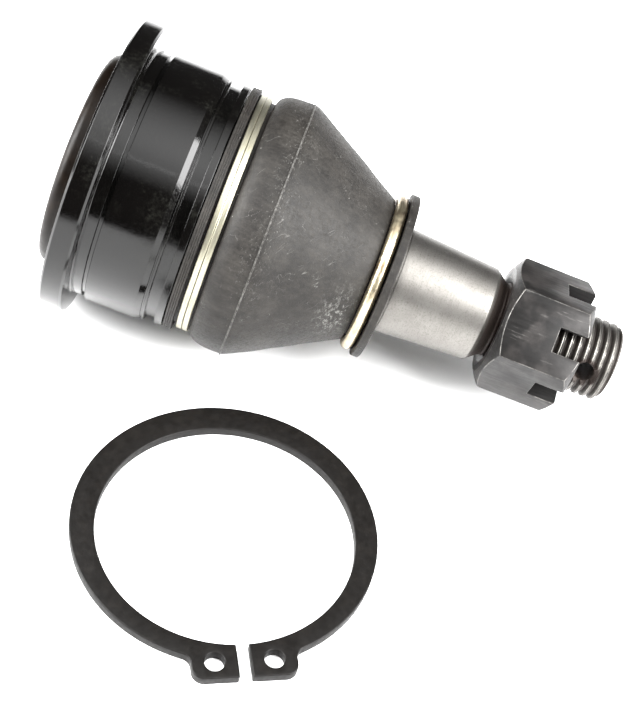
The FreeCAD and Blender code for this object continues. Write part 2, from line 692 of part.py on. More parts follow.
# The boot and its two rings
pieces.append(lay_on_axis(dust_boot()))
pieces.append(lay_on_axis(boot_clip()))
ring_station = f"{CONE_END} + boot_ring_len / 2"
pieces.append(lay_on_axis(end_ring(), ring_station, turn=Rotation(Vector(0, 1, 0), 90)))

# The nut. A flat faces +Y in its own drawing, and the roll turns it to the front and up
nut = castle_nut()
nut_slots(nut)
pieces.append(lay_on_axis(nut, NUT_START, roll=180.0 - size("nut_turn")))

# The loose snap ring on the bench, its gap turned towards the front
ring = snap_ring()
finish_snap_ring(ring)
bearing = Rotation(Vector(0, 0, 1), size("snap_bearing") - 90.0)
ring.Placement = Placement(Vector(size("snap_ahead"), -size("snap_aside"), bench_level()), bearing)
pieces.append(ring)

doc.recompute()
for item in doc.Objects:
    if {"Invalid", "Error"} & set(item.State):
        raise RuntimeError(f"{item.Label} did not build: {item.State}")
for piece in pieces:
    if piece.Shape.isNull() or not piece.Shape.isValid() or len(piece.Shape.Solids) != 1:
        raise RuntimeError(f"{piece.Label} is not one valid solid")

for piece in pieces:
    piece.Shape.exportStep(f"parts/{piece.Label}.step")
    print(f"{piece.Label}: {piece.Shape.Volume:.1f} mm3")
print(f"nose down {nose_down():.3f} degrees, bench at {bench_level():.3f} mm")
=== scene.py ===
"""Press-in suspension ball joint on a bench, dressed for the studio, with its castle nut and loose snap ring.

Lengths in the classes are millimetres and angles are degrees. Meshes are written in metres, in the row frame.
The turned pieces share one leaning axis. A place on it is a station, counted from the crown of the closing
cover, and an angle round it, counted from the top towards the front.
"""
import json
import logging
import math
from abc import ABC, abstractmethod
from contextlib import contextmanager
from dataclasses import dataclass, field
from enum import Enum
from typing import Iterator, Sequence

import bmesh
import bpy
import numpy as np
from mathutils import Matrix, Vector


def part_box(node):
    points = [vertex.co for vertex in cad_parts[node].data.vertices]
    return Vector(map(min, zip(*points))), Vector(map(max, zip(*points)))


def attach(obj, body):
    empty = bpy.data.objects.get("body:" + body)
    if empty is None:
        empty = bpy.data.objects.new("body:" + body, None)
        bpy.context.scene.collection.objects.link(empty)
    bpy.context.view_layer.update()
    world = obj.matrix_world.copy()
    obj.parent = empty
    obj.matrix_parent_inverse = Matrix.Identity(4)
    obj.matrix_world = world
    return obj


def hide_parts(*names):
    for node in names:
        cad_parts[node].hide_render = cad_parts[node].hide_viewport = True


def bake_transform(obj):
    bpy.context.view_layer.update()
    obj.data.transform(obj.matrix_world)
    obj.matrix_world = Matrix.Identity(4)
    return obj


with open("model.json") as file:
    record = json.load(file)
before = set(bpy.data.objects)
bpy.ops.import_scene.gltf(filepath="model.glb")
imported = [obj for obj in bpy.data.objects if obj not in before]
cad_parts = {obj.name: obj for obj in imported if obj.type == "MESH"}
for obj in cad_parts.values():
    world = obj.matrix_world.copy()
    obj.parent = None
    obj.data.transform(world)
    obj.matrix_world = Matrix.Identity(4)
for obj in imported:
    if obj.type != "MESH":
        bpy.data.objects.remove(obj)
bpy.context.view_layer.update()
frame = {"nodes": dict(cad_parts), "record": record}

LOG = logging.getLogger("ball_joint")
MM = 0.001
FULL_TURN = 2 * math.pi
ON_AXIS = 1e-9

Array = np.ndarray
Socket = bpy.types.NodeSocket
Place = Socket | None
Corner = tuple[float, float, float]
Point = tuple[float, float, float]
Colour = tuple[float, float, float, float]


class Body(Enum):
    """Moving bodies of the joint."""

    HOUSING = "housing"
    BOOT = "boot"
    BOOT_COLLAR = "boot_collar"
    STUD = "stud"
    NUT = "nut"
    SNAP_RING = "snap_ring"


def mount(name: str) -> dict:
    """The record's mount of a name."""
    return next(entry for entry in frame["record"]["mounts"] if entry["name"] == name)


@dataclass(frozen=True)
class JointAxis:
    """The leaning line that the turned pieces share. It passes the origin at the ball's centre."""

    ball: float = 16.3

    @property
    def along(self) -> Array:
        """Unit vector from the cover to the thread."""
        return np.array(mount("housing_press_seat")["axis"], float)

    @property
    def up(self) -> Array:
        """Unit vector square to the axis, in the upright plane."""
        ahead = self.along
        return np.array([-ahead[2], 0.0, ahead[0]])

    @property
    def front(self) -> Array:
        """Unit vector square to both, towards the front of the bench."""
        return np.array([0.0, -1.0, 0.0])

    def across(self, angle: Array) -> Array:
        """Unit vectors square to the axis: cos(angle) * up + sin(angle) * front."""
        return np.cos(angle)[..., None] * self.up + np.sin(angle)[..., None] * self.front

    def middle(self, station: Array) -> Array:
        """Points of the axis itself, in metres."""
        return (station - self.ball)[..., None] * self.along * MM

    def place(self, station: Array, radius: Array, angle: Array) -> Array:
        """Points at stations, radii and angles (broadcast together), in metres."""
        return ((station - self.ball)[..., None] * self.along + radius[..., None] * self.across(angle)) * MM

    def direction(self, ahead: Array, outward: Array, angle: Array) -> Array:
        """Directions with a share along the axis and a share outward at an angle."""
        return ahead[..., None] * self.along + outward[..., None] * self.across(angle)

    def rotation(self) -> Matrix:
        """Rotation from the axis's own frame (X ahead, Y back, Z up) to the row frame."""
        return Matrix([self.along, -self.front, self.up]).transposed()


AXIS = JointAxis()


# Outlines


def arc(centre: tuple[float, float], radius: float, first: float, last: float, steps: int) -> Array:
    """Points on a circle, evenly from one angle to another: centre + radius * (cos, sin).

    Args:
        centre: the circle's centre.
        radius: its radius.
        first: first angle in degrees.
        last: last angle in degrees.
        steps: number of points.
    Returns:
        The points, one a row.
    """
    angle = np.radians(np.linspace(first, last, steps))
    return np.stack([centre[0] + radius * np.cos(angle), centre[1] + radius * np.sin(angle)], -1)


def soften(corners: Sequence[Corner], closed: bool = False, steps: int = 5) -> Array:
    """Rounds the corners of an outline.

    Each corner is (station, radius, rounding). A rounding r is an arc that touches both sides at r / tan(half
    the angle between them), cut down to just under half of a side that is too short for it. A corner that is
    almost straight stays as it is.

    Args:
        corners: the outline's corners.
        closed: whether the last corner joins the first.
        steps: points on each arc.
    Returns:
        The rounded outline, one point a row.
    """
    side_share, straight = 0.49, math.radians(88)
    points = np.array([corner[:2] for corner in corners], float)
    count = len(points)
    rows: list[Array] = []
    for index, (here, rounding) in enumerate(zip(points, (corner[2] for corner in corners))):
        before, after = points[index - 1] - here, points[(index + 1) % count] - here
        room = side_share * min(np.linalg.norm(before), np.linalg.norm(after))
        before, after = before / np.linalg.norm(before), after / np.linalg.norm(after)
        half = 0.5 * math.acos(float(np.clip(before @ after, -1.0, 1.0)))
        open_end = not closed and index in (0, count - 1)
        if rounding <= 0 or open_end or half > straight:
            rows.append(here[None])
            continue
        reach = min(rounding / math.tan(half), room)
        radius = reach * math.tan(half)
        middle = here + (before + after) / np.linalg.norm(before + after) * radius / math.sin(half)
        first, last = here + before * reach - middle, here + after * reach - middle
        turn = math.acos(float(np.clip(first @ last / radius**2, -1.0, 1.0)))
        share = np.linspace(0.0, 1.0, steps)[:, None]
        rounded = np.sin((1 - share) * turn) * first + np.sin(share * turn) * last
        rows.append(middle + rounded / math.sin(turn))
    return np.concatenate(rows)


def outline_normals(points: Array, closed: bool) -> Array:
    """Outward normals of an outline: the mean of its two sides' normals, each weighted by its length.

    Args:
        points: the outline, with the material on the right of the way.
        closed: whether the last point joins the first.
    Returns:
        The normals as (ahead, outward) rows.
    """
    sides = np.roll(points, -1, 0) - points
    square = np.stack([-sides[:, 1], sides[:, 0]], -1)
    if not closed:
        square[-1] = 0.0
    total = square + np.roll(square, 1, 0)
    return total / np.maximum(np.linalg.norm(total, axis=1, keepdims=True), 1e-12)


def refine(points: Array, longest: float) -> Array:
    """Divides the sides of an open outline evenly, so that none is longer than a given length.

    Args:
        points: the outline.
        longest: the greatest length of a side.
    Returns:
        The outline with its new points.
    """
    rows = []
    for first, last in zip(points[:-1], points[1:]):
        pieces = max(1, math.ceil(float(np.linalg.norm(last - first)) / longest))
        rows.append(first + (last - first) * np.linspace(0.0, 1.0, pieces, endpoint=False)[:, None])
    return np.concatenate(rows + [points[-1:]])


# Meshes


def round_way(columns: int) -> Array:
    """Angles evenly round the axis, as one row."""
    return (np.arange(columns) * FULL_TURN / columns)[None]


def grid_faces(rows: int, columns: int, wrap_rows: bool) -> Array:
    """Quads of a grid whose columns close round the axis.

    Args:
        rows: number of rows.
        columns: number of points in a row.
        wrap_rows: whether the last row joins the first.
    Returns:
        Four point numbers a quad, where the point of a row and column is row * columns + column.
    """
    last = rows if wrap_rows else rows - 1
    row, column = np.meshgrid(np.arange(last), np.arange(columns), indexing="ij")
    below = (row + 1) % rows
    beside = (column + 1) % columns
    here, under = row * columns, below * columns
    return np.stack([here + column, here + beside, under + beside, under + column], -1).reshape(-1, 4)


def close_poles(faces: Array, radius: Array) -> tuple[Array, Array]:
    """Joins each row that lies on the axis into one point, and makes triangles of the quads beside it.

    Args:
        faces: quads of the grid.
        radius: the grid's radii, a row for each of its rows.
    Returns:
        The numbers of the points still used, and the faces in terms of those. A triangle repeats its last.
    """
    number = np.arange(radius.size)
    columns = radius.shape[1]
    faces = np.where((radius < ON_AXIS).ravel(), number // columns * columns, number)[faces]
    top = faces[:, 0] == faces[:, 1]
    faces[top] = faces[top][:, [2, 3, 0, 0]]
    used, faces = np.unique(faces, return_inverse=True)
    return used, faces.reshape(-1, 4)


def show(name: str, data: bpy.types.ID) -> bpy.types.Object:
    """Puts a mesh, curve, lamp or camera into the scene at the origin.

    Args:
        name: its name.
        data: the data-block.
    Returns:
        The new object.
    """
    shown = bpy.data.objects.new(name, data)
    bpy.context.scene.collection.objects.link(shown)
    return shown


def new_piece(name: str, points: Array, faces: Array, normals: Array | None = None) -> bpy.types.Object:
    """A mesh object at the origin from numpy arrays.

    Args:
        name: the piece's name.
        points: places in metres, in any grid.
        faces: point numbers; a quad whose last two agree is written as a triangle.
        normals: the points' normals, or None to let Blender work them out.
    Returns:
        The new object.
    """
    points = points.reshape(-1, 3)
    keep = np.ones(faces.shape, bool)
    keep[faces[:, 2] == faces[:, 3], 3] = False
    corners, sizes = faces[keep], keep.sum(1)
    mesh = bpy.data.meshes.new(name)
    mesh.vertices.add(len(points))
    mesh.vertices.foreach_set("co", points.astype(np.float32).ravel())
    mesh.loops.add(len(corners))
    mesh.loops.foreach_set("vertex_index", corners.astype(np.int32))
    mesh.polygons.add(len(faces))
    mesh.polygons.foreach_set("loop_start", (np.cumsum(sizes) - sizes).astype(np.int32))
    mesh.update(calc_edges=True)
    mesh.validate()
    mesh.shade_smooth()
    if normals is not None:
        mesh.normals_split_custom_set_from_vertices(normals.reshape(-1, 3).astype(float).tolist())
    return show(name, mesh)


def turned(name: str, outline: Array, closed: bool, columns: int) -> bpy.types.Object:
    """A turned piece: every point of an outline carried round the axis.

    A point at (station, radius) and angle t lies at axis(station) + radius * (cos t * up + sin t * front).
    An outline that starts or ends on the axis is closed there by a fan.

    Args:
        name: the piece's name.
        outline: (station, radius) rows, with the material on the right of the way.
        closed: whether the last row joins the first.
        columns: points round the axis.
    Returns:
        The new object.
    """
    normals = outline_normals(outline, closed)
    angle = round_way(columns)
    points = AXIS.place(outline[:, :1], outline[:, 1:], angle)
    shading = AXIS.direction(normals[:, :1], normals[:, 1:], angle)
    used, faces = close_poles(grid_faces(len(outline), columns, closed), outline[:, 1:] + 0 * angle)
    return new_piece(name, points.reshape(-1, 3)[used], faces, shading.reshape(-1, 3)[used])


@contextmanager
def editing(mesh: bpy.types.Mesh) -> Iterator[bmesh.types.BMesh]:
    """Opens a mesh for work on its points and faces, and writes it back.

    Args:
        mesh: the mesh.
    Yields:
        The mesh as bmesh has it.
    """
    work = bmesh.new()
    work.from_mesh(mesh)
    yield work
    work.to_mesh(mesh)
    work.free()


def close_shell(mesh: bpy.types.Mesh, doubles: float) -> None:
    """Merges a mesh's doubled points and turns its faces outwards.

    Args:
        mesh: the mesh.
        doubles: how near two points are merged, in metres.
    """
    with editing(mesh) as work:
        bmesh.ops.remove_doubles(work, verts=work.verts, dist=doubles)
        bmesh.ops.recalc_face_normals(work, faces=work.faces)


def finished_mesh(source: bpy.types.Object) -> bpy.types.Mesh:
    """The mesh of a curve, or of a piece with its modifiers applied."""
    return bpy.data.meshes.new_from_object(source.evaluated_get(bpy.context.evaluated_depsgraph_get()))


def apply_modifiers(piece: bpy.types.Object) -> None:
    """Gives a piece the mesh that its modifiers make, and takes them off.

    Args:
        piece: the piece.
    """
    finished = finished_mesh(piece)
    piece.modifiers.clear()
    piece.data = finished


def mark(mesh: bpy.types.Mesh, name: str, domain: str, values: Array) -> None:
    """Stores one number for each point or face as an attribute that a finish reads."""
    layer = mesh.attributes.new(name, "FLOAT", domain)
    layer.data.foreach_set("value", values.astype(np.float32).ravel())


def vectors(parts: bpy.types.bpy_prop_collection, name: str) -> Array:
    """One vector of each point or face, a row each.

    Args:
        parts: the points or faces.
        name: the vector wanted.
    Returns:
        The vectors.
    """
    values = np.zeros(3 * len(parts))
    parts.foreach_get(name, values)
    return values.reshape(-1, 3)


def broken_edges(name: str, node: str, width: float, segments: int) -> bpy.types.Object:
    """A copy of a CAD node with its triangles joined and its sharp edges rounded.

    Args:
        name: the new piece's name.
        node: the CAD node.
        width: width of the rounding in millimetres.
        segments: faces across it.
    Returns:
        The new object, whose attribute "edge" is one on the roundings.
    """
    doubles, flat, sharp = 2e-6, math.radians(0.6), math.radians(22)
    mesh = frame["nodes"][node].data.copy()
    mesh.name = name
    with editing(mesh) as work:
        bmesh.ops.remove_doubles(work, verts=work.verts, dist=doubles)
        bmesh.ops.dissolve_limit(work, angle_limit=flat, verts=work.verts, edges=work.edges)
    piece = show(name, mesh)
    mesh.shade_smooth()
    rounding = piece.modifiers.new("broken_edges", "BEVEL")
    rounding.width = width * MM
    rounding.segments = segments
    rounding.limit_method = "ANGLE"
    rounding.angle_limit = sharp
    rounding.harden_normals = True
    for part in ("faces", "edges"):
        mesh.materials.append(bpy.data.materials.new(f"{name}_{part}"))
    rounding.material = 1
    apply_modifiers(piece)
    kind = np.zeros(len(piece.data.polygons), np.int32)
    piece.data.polygons.foreach_get("material_index", kind)
    mark(piece.data, "edge", "FACE", kind)
    piece.data.polygons.foreach_set("material_index", np.zeros_like(kind))
    return piece


# Finishes


def rgb(red: float, green: float, blue: float) -> Colour:
    """A linear colour with full cover."""
    return (red, green, blue, 1.0)


def put(tree: bpy.types.NodeTree, target: Socket, value: object) -> None:
    """Sets a socket to a number, vector or colour, or joins it to another socket.

    Args:
        tree: the node tree.
        target: the socket.
        value: what it gets.
    """
    if isinstance(value, Socket):
        tree.links.new(value, target)
    else:
        target.default_value = value


def add_node(tree: bpy.types.NodeTree, kind: str, inputs: dict, **settings: str) -> bpy.types.ShaderNode:
    """Adds a shader node.

    Args:
        tree: the node tree.
        kind: the node's type, without ShaderNode in front.
        inputs: values or sockets for its inputs, by name or number.
        settings: its own properties.
    Returns:
        The new node.
    """
    node = tree.nodes.new("ShaderNode" + kind)
    for name, value in settings.items():
        setattr(node, name, value)
    for name, value in inputs.items():
        put(tree, node.inputs[name], value)
    return node


class Paint:
    """Builds one node material, with short names for the nodes that the finishes share."""

    def __init__(self, name: str) -> None:
        """Starts a material with a shader, and places in millimetres turned along the joint's axis.

        Args:
            name: the material's name.
        """
        self.material = bpy.data.materials.new(name)
        self.material.use_nodes = True
        self.tree = self.material.node_tree
        self.tree.nodes.clear()
        self.shader = self.node("BsdfPrincipled", {})
        self.node("OutputMaterial", {"Surface": self.shader.outputs["BSDF"]})
        coordinates = self.node("TexCoord", {}).outputs["Object"]
        straight = AXIS.rotation().inverted().to_euler()
        self.place = self.mapped(coordinates, Rotation=straight, Scale=(1 / MM, 1 / MM, 1 / MM))

    def node(self, kind: str, inputs: dict, **settings: str) -> bpy.types.ShaderNode:
        """Adds a node to this material, as add_node() does."""
        return add_node(self.tree, kind, inputs, **settings)

    def set(self, **values: object) -> None:
        """Sets the shader's sockets; an underscore in a name stands for a space."""
        for name, value in values.items():
            put(self.tree, self.shader.inputs[name.replace("_", " ")], value)

    def mapped(self, at: Socket, **settings: Sequence[float]) -> Socket:
        """A place that is turned or scaled."""
        return self.node("Mapping", {"Vector": at, **settings}).outputs["Vector"]

    def stretched(self, x: float, y: float, z: float) -> Socket:
        """The place in millimetres, scaled along the axis, towards the back and up."""
        return self.mapped(self.place, Scale=(x, y, z))

    def noise(self, scale: float, detail: float = 4.0, rough: float = 0.55, at: Place = None) -> Socket:
        """Noise from 0 to 1; scale counts features in a millimetre."""
        inputs = {"Vector": at or self.place, "Scale": scale, "Detail": detail, "Roughness": rough}
        return self.node("TexNoise", inputs).outputs["Fac"]

    def specks(self, scale: float) -> Socket:
        """Distance to the nearest of many scattered points."""
        return self.node("TexVoronoi", {"Vector": self.place, "Scale": scale}).outputs["Distance"]

    def remap(self, value: Socket, low: float, high: float, first: float = 0.0, last: float = 1.0) -> Socket:
        """Maps low to high onto first to last, softly at both ends, and stops outside them."""
        inputs = {"Value": value, "From Min": low, "From Max": high, "To Min": first, "To Max": last}
        return self.node("MapRange", inputs, interpolation_type="SMOOTHSTEP").outputs["Result"]

    def patches(
        self, scale: float, detail: float, low: float, high: float, rough: float = 0.55, at: Place = None
    ) -> Socket:
        """Soft patches: a noise, zero where it is under low and one where it is over high."""
        return self.remap(self.noise(scale, detail, rough, at), low, high)

    def math(self, kind: str, *values: Socket | float) -> Socket:
        """Arithmetic of one kind on two or more values, from the left.

        Args:
            kind: the kind, as Blender names it.
            values: the values.
        Returns:
            The result.
        """
        result = values[0]
        for value in values[1:]:
            result = self.node("Math", {0: result, 1: value}, operation=kind).outputs[0]
        return result

    def times(self, *values: Socket | float) -> Socket:
        """Product of values."""
        return self.math("MULTIPLY", *values)

    def plus(self, *values: Socket | float) -> Socket:
        """Sum of values."""
        return self.math("ADD", *values)

    def most(self, *values: Socket | float) -> Socket:
        """Greatest of values."""
        return self.math("MAXIMUM", *values)

    def mix(self, share: Socket, first: Socket | Colour, second: Socket | Colour) -> Socket:
        """A colour between two others; the node's first colour input is number 6."""
        return self.node("Mix", {0: share, 6: first, 7: second}, data_type="RGBA").outputs[2]

    def axis_parts(self) -> Sequence[Socket]:
        """The place's three parts: along the axis from the ball, towards the back, and up, in millimetres."""
        return self.node("SeparateXYZ", {"Vector": self.place}).outputs

    def near(self, value: Socket, middle: float, reach: float) -> Socket:
        """One where a value meets a middle, falling softly to zero at a reach from it."""
        return self.remap(self.math("ABSOLUTE", self.math("SUBTRACT", value, middle), 0.0), reach, 0.0)

    def hairs(self, scale: float, turn: float) -> Socket:
        """Sparse hair-like scratches: thin ridges of a noise that is drawn out along a turned direction.

        Args:
            scale: scratches in a millimetre, across them.
            turn: the direction, in degrees from the axis.
        Returns:
            A value from 0 to 1, one on a scratch.
        """
        tilt, drawn_out, thin = 0.4, 0.12, 0.006
        angles = (math.radians(turn), math.radians(tilt * turn), math.radians(turn))
        drawn = self.mapped(self.mapped(self.place, Rotation=angles), Scale=(drawn_out, 1.0, 1.0))
        ridge = self.near(self.noise(scale, 1.0, 0.4, drawn), 0.5, thin)
        return self.times(ridge, self.patches(scale * 0.45, 2.0, 0.56, 0.66))

    def attribute(self, name: str) -> Socket:
        """One of the piece's own attributes."""
        return self.node("Attribute", {}, attribute_name=name).outputs["Fac"]

    def relief(self, *layers: tuple[Socket, float, float]) -> None:
        """Adds relief to the shader.

        Args:
            layers: height, depth in millimetres and strength of each layer, from the lowest to the highest.
        """
        under: dict = {}
        for height, depth, strength in layers:
            inputs = {"Distance": depth * MM, "Strength": strength, "Height": height, **under}
            under = {"Normal": self.node("Bump", inputs).outputs["Normal"]}
        self.set(**under)


@dataclass(frozen=True)
class Finish(ABC):
    """A finish, made as one node material that is named after its slot in the record."""

    slot: str

    @abstractmethod
    def coat(self, paint: Paint) -> None:
        """Builds the finish in a new material."""

    def dress(self, *pieces: bpy.types.Object) -> None:
        """Gives pieces this finish and its slot.

        Args:
            pieces: the pieces or solids.
        """
        paint = Paint(self.slot)
        self.coat(paint)
        for piece in pieces:
            piece.data.materials.clear()
            piece.data.materials.append(paint.material)


@dataclass(frozen=True)
class GlossyBlack(Finish):
    """Hard black coating on the forging: deep and glossy, hazed by fine handling marks and a little dust."""

    slot: str = "housing_black"
    base: Colour = rgb(0.00114, 0.001, 0.000929)
    dusty: Colour = rgb(0.0536, 0.0557, 0.0443)

    def coat(self, paint: Paint) -> None:
        """Dots, a thin film and wiped hairs of dust, with the gloss dulled under the film.

        Args:
            paint: the new material.
        """
        haze = paint.noise(1.5, 6.0, 0.75)
        patch = paint.patches(0.13, 3.0, 0.46, 0.66)
        speck = paint.remap(paint.specks(2.1), 0.11, 0.04)
        dots = paint.times(speck, paint.patches(0.5, 1.0, 0.6, 0.66), 0.4)
        film = paint.times(paint.remap(haze, 0.44, 0.8), patch, 0.16)
        wiped = paint.times(paint.hairs(1.1, 20.0), 0.12)
        paint.set(
            Base_Color=paint.mix(paint.most(dots, film, wiped), self.base, self.dusty),
            Roughness=paint.plus(paint.remap(haze, 0.4, 0.68, 0.07, 0.17), paint.times(patch, 0.09)),
            Specular_IOR_Level=0.28,
        )
        paint.relief((paint.noise(0.9, 4.0, 0.6), 0.022, 0.45), (paint.noise(3.0, 5.0, 0.75), 0.008, 0.6))


@dataclass(frozen=True)
class CoverBlack(Finish):
    """Satin brown-black finish of the pressed cover."""

    slot: str = "cover_black"
    base: Colour = rgb(0.00329, 0.002, 0.00121)
    worn: Colour = rgb(0.0107, 0.00679, 0.00393)

    def coat(self, paint: Paint) -> None:
        """Clouds of a worn brown over fine orange peel.

        Args:
            paint: the new material.
        """
        cloud = paint.patches(0.3, 5.0, 0.4, 0.75, 0.62)
        paint.set(
            Base_Color=paint.mix(paint.times(cloud, 0.5), self.base, self.worn),
            Roughness=paint.remap(paint.noise(0.8, 4.0), 0.3, 0.7, 0.32, 0.44),
            Specular_IOR_Level=0.11,
        )
        paint.relief((paint.noise(1.6, 4.0, 0.6), 0.02, 0.3), (paint.noise(7.0, 2.0), 0.005, 0.4))


@dataclass(frozen=True)
class BootRubber(Finish):
    """Matt moulded rubber: fine scratches, white dust along its mould line, and a scuff by its small end."""

    slot: str = "boot_rubber"
    base: Colour = rgb(0.0047, 0.004, 0.0034)
    bloom: Colour = rgb(0.0245, 0.0222, 0.0194)
    chalk: Colour = rgb(0.171, 0.168, 0.157)
    scuff_ahead: float = 34.6
    scuff_up: float = 1.0

    def coat(self, paint: Paint) -> None:
        """The bloomed rubber under its pale marks, with fine grit in its roughness and relief.

        Args:
            paint: the new material.
        """
        grit = paint.patches(1.7, 6.0, 0.42, 0.66, 0.85)
        paint.set(
            Base_Color=paint.mix(self.marks(paint), self.bloomed(paint, grit), self.chalk),
            Roughness=paint.remap(grit, 0.0, 1.0, 0.54, 0.74),
            Specular_IOR_Level=0.21,
        )
        paint.relief((paint.noise(0.35, 4.0, 0.6), 0.1, 0.3), (paint.noise(3.2, 6.0, 0.8), 0.05, 0.8))

    def bloomed(self, paint: Paint, grit: Socket) -> Socket:
        """The rubber's own colour: grey bloom in clouds, in fine grit and in streaks along the boot.

        Args:
            paint: the new material.
            grit: share of fine grit.
        Returns:
            The colour.
        """
        cloud = paint.patches(0.13, 5.0, 0.38, 0.66, 0.65)
        streaks = paint.patches(1.1, 5.0, 0.42, 0.66, 0.75, paint.stretched(0.22, 1.0, 0.8))
        share = paint.plus(paint.times(cloud, 0.4), paint.times(grit, 0.35), paint.times(streaks, 0.3))
        return paint.mix(share, self.base, self.bloom)

    def marks(self, paint: Paint) -> Socket:
        """Share of chalk: dust and a broken line on the seam, two ways of scratches, the scuff and dots.

        Args:
            paint: the new material.
        Returns:
            The share.
        """
        ahead, back, up = paint.axis_parts()
        seam = paint.attribute("seam")
        crumbs = paint.patches(3.0, 6.0, 0.56, 0.68, 0.8, paint.stretched(1.0, 0.7, 0.7))
        dusted = paint.times(crumbs, seam, paint.times(paint.remap(up, -2.0, 12.0, 0.2, 1.0), 0.75))
        broken = paint.remap(paint.noise(1.3, 5.0, 0.75), 0.42, 0.64, 0.04, 0.42)
        line = paint.times(paint.remap(seam, 0.935, 0.985), broken)
        scratches = paint.times(paint.hairs(0.9, 35.0), 0.5)
        crossing = paint.times(paint.hairs(0.75, -52.0), 0.4)
        beside = paint.times(paint.near(ahead, self.scuff_ahead, 4.6), paint.near(up, self.scuff_up, 8.0))
        patch = paint.times(beside, paint.remap(back, 0.0, -8.0, 0.0, 0.7))
        scuff = paint.times(paint.patches(1.8, 6.0, 0.5, 0.64, 0.8, paint.stretched(1.0, 0.6, 0.6)), patch)
        dots = paint.times(paint.remap(paint.specks(0.62), 0.075, 0.03), paint.patches(0.4, 1.0, 0.55, 0.59))
        return paint.most(dusted, line, scratches, crossing, scuff, dots)


@dataclass(frozen=True)
class ClipWire(Finish):
    """Pale zinc-plated flat spring wire with drawing lines along it."""

    slot: str = "clip_wire"
    bright: Colour = rgb(0.385, 0.37, 0.29)
    dull: Colour = rgb(0.236, 0.221, 0.157)

    def coat(self, paint: Paint) -> None:
        """Dull drawing lines and stains on bright plating.

        Args:
            paint: the new material.
        """
        lines = paint.noise(5.0, 3.0, 0.6, paint.stretched(2.4, 0.06, 0.06))
        stain = paint.patches(0.35, 4.0, 0.4, 0.75)
        share = paint.plus(paint.times(paint.remap(lines, 0.45, 0.72), 0.6), paint.times(stain, 0.3))
        paint.set(
            Base_Color=paint.mix(share, self.bright, self.dull),
            Metallic=1.0,
            Roughness=paint.remap(lines, 0.3, 0.7, 0.34, 0.5),
        )
        paint.relief((lines, 0.035, 0.7))


@dataclass(frozen=True)
class RingWire(Finish):
    """Yellow plating on the round wire ring, with brown stains, browned by painted shade on its far side and
    by a painted dark reflection in a band towards the front.
    """

    slot: str = "ring_wire"
    bright: Colour = rgb(0.56, 0.49, 0.345)
    dark: Colour = rgb(0.179, 0.107, 0.05)

    def coat(self, paint: Paint) -> None:
        """Brown stains, a far side browned as painted shade, and a brown band towards the front that is a
        painted dark reflection.

        Args:
            paint: the new material.
        """
        stain = paint.patches(0.6, 5.0, 0.4, 0.7, 0.6)
        _, back, _ = paint.axis_parts()
        # Painted shade: the far side of the ring is browned, more towards the back.
        far = paint.remap(back, 1.0, 7.5, 0.0, 0.85)
        # Painted reflection: a brown band on the front side stands in for a dark reflection.
        band = paint.times(paint.near(back, -9.4, 1.5), 0.7)
        paint.set(
            Base_Color=paint.mix(paint.most(far, band, paint.times(stain, 0.4)), self.bright, self.dark),
            Metallic=1.0,
            Roughness=paint.remap(paint.noise(1.5, 3.0), 0.3, 0.7, 0.28, 0.4),
        )
        paint.relief((paint.noise(2.5, 3.0), 0.015, 0.25))


@dataclass(frozen=True)
class StudSteel(Finish):
    """Bare steel of the stud: ground and grainy on the taper, oxide brown in the thread, and painted shade in
    the cotter hole and on the cone behind the thread.
    """

    slot: str = "stud_steel"
    steel: Colour = rgb(0.184, 0.177, 0.165)
    speck: Colour = rgb(0.0786, 0.0714, 0.0643)
    # Dark brown for oxide in the thread, also used as painted shade in the cotter hole and on the cone behind
    # the thread.
    oxide_and_shade: Colour = rgb(0.0157, 0.00929, 0.00643)

    def coat(self, paint: Paint) -> None:
        """Pits, clouds and turning lines in the steel, then dark brown by the share of soil and painted
        shade: oxide soil in the thread, painted shade in the cotter hole and on the cone behind the thread.

        Args:
            paint: the new material.
        """
        grain = paint.noise(3.4, 6.0, 0.78)
        turning = paint.noise(6.0, 3.0, 0.6, paint.stretched(1.6, 0.07, 0.07))
        pits = paint.remap(grain, 0.5, 0.68)
        cloud = paint.patches(0.22, 4.0, 0.38, 0.7, 0.6)
        lines = paint.remap(turning, 0.5, 0.72)
        share = paint.plus(paint.times(pits, 0.5), paint.times(cloud, 0.25), paint.times(lines, 0.25))
        # Share of oxide soil and of painted shade, from the stud's attribute.
        soil_and_shade_share = paint.attribute("soil_and_shade")
        paint.set(
            Base_Color=paint.mix(soil_and_shade_share, paint.mix(share, self.steel, self.speck), self.oxide_and_shade),
            Metallic=paint.remap(soil_and_shade_share, 0.5, 1.0, 1.0, 0.35),
            Roughness=paint.plus(paint.remap(grain, 0.3, 0.7, 0.38, 0.52), paint.times(soil_and_shade_share, 0.2)),
        )
        paint.relief((grain, 0.04, 0.55), (turning, 0.012, 0.45))


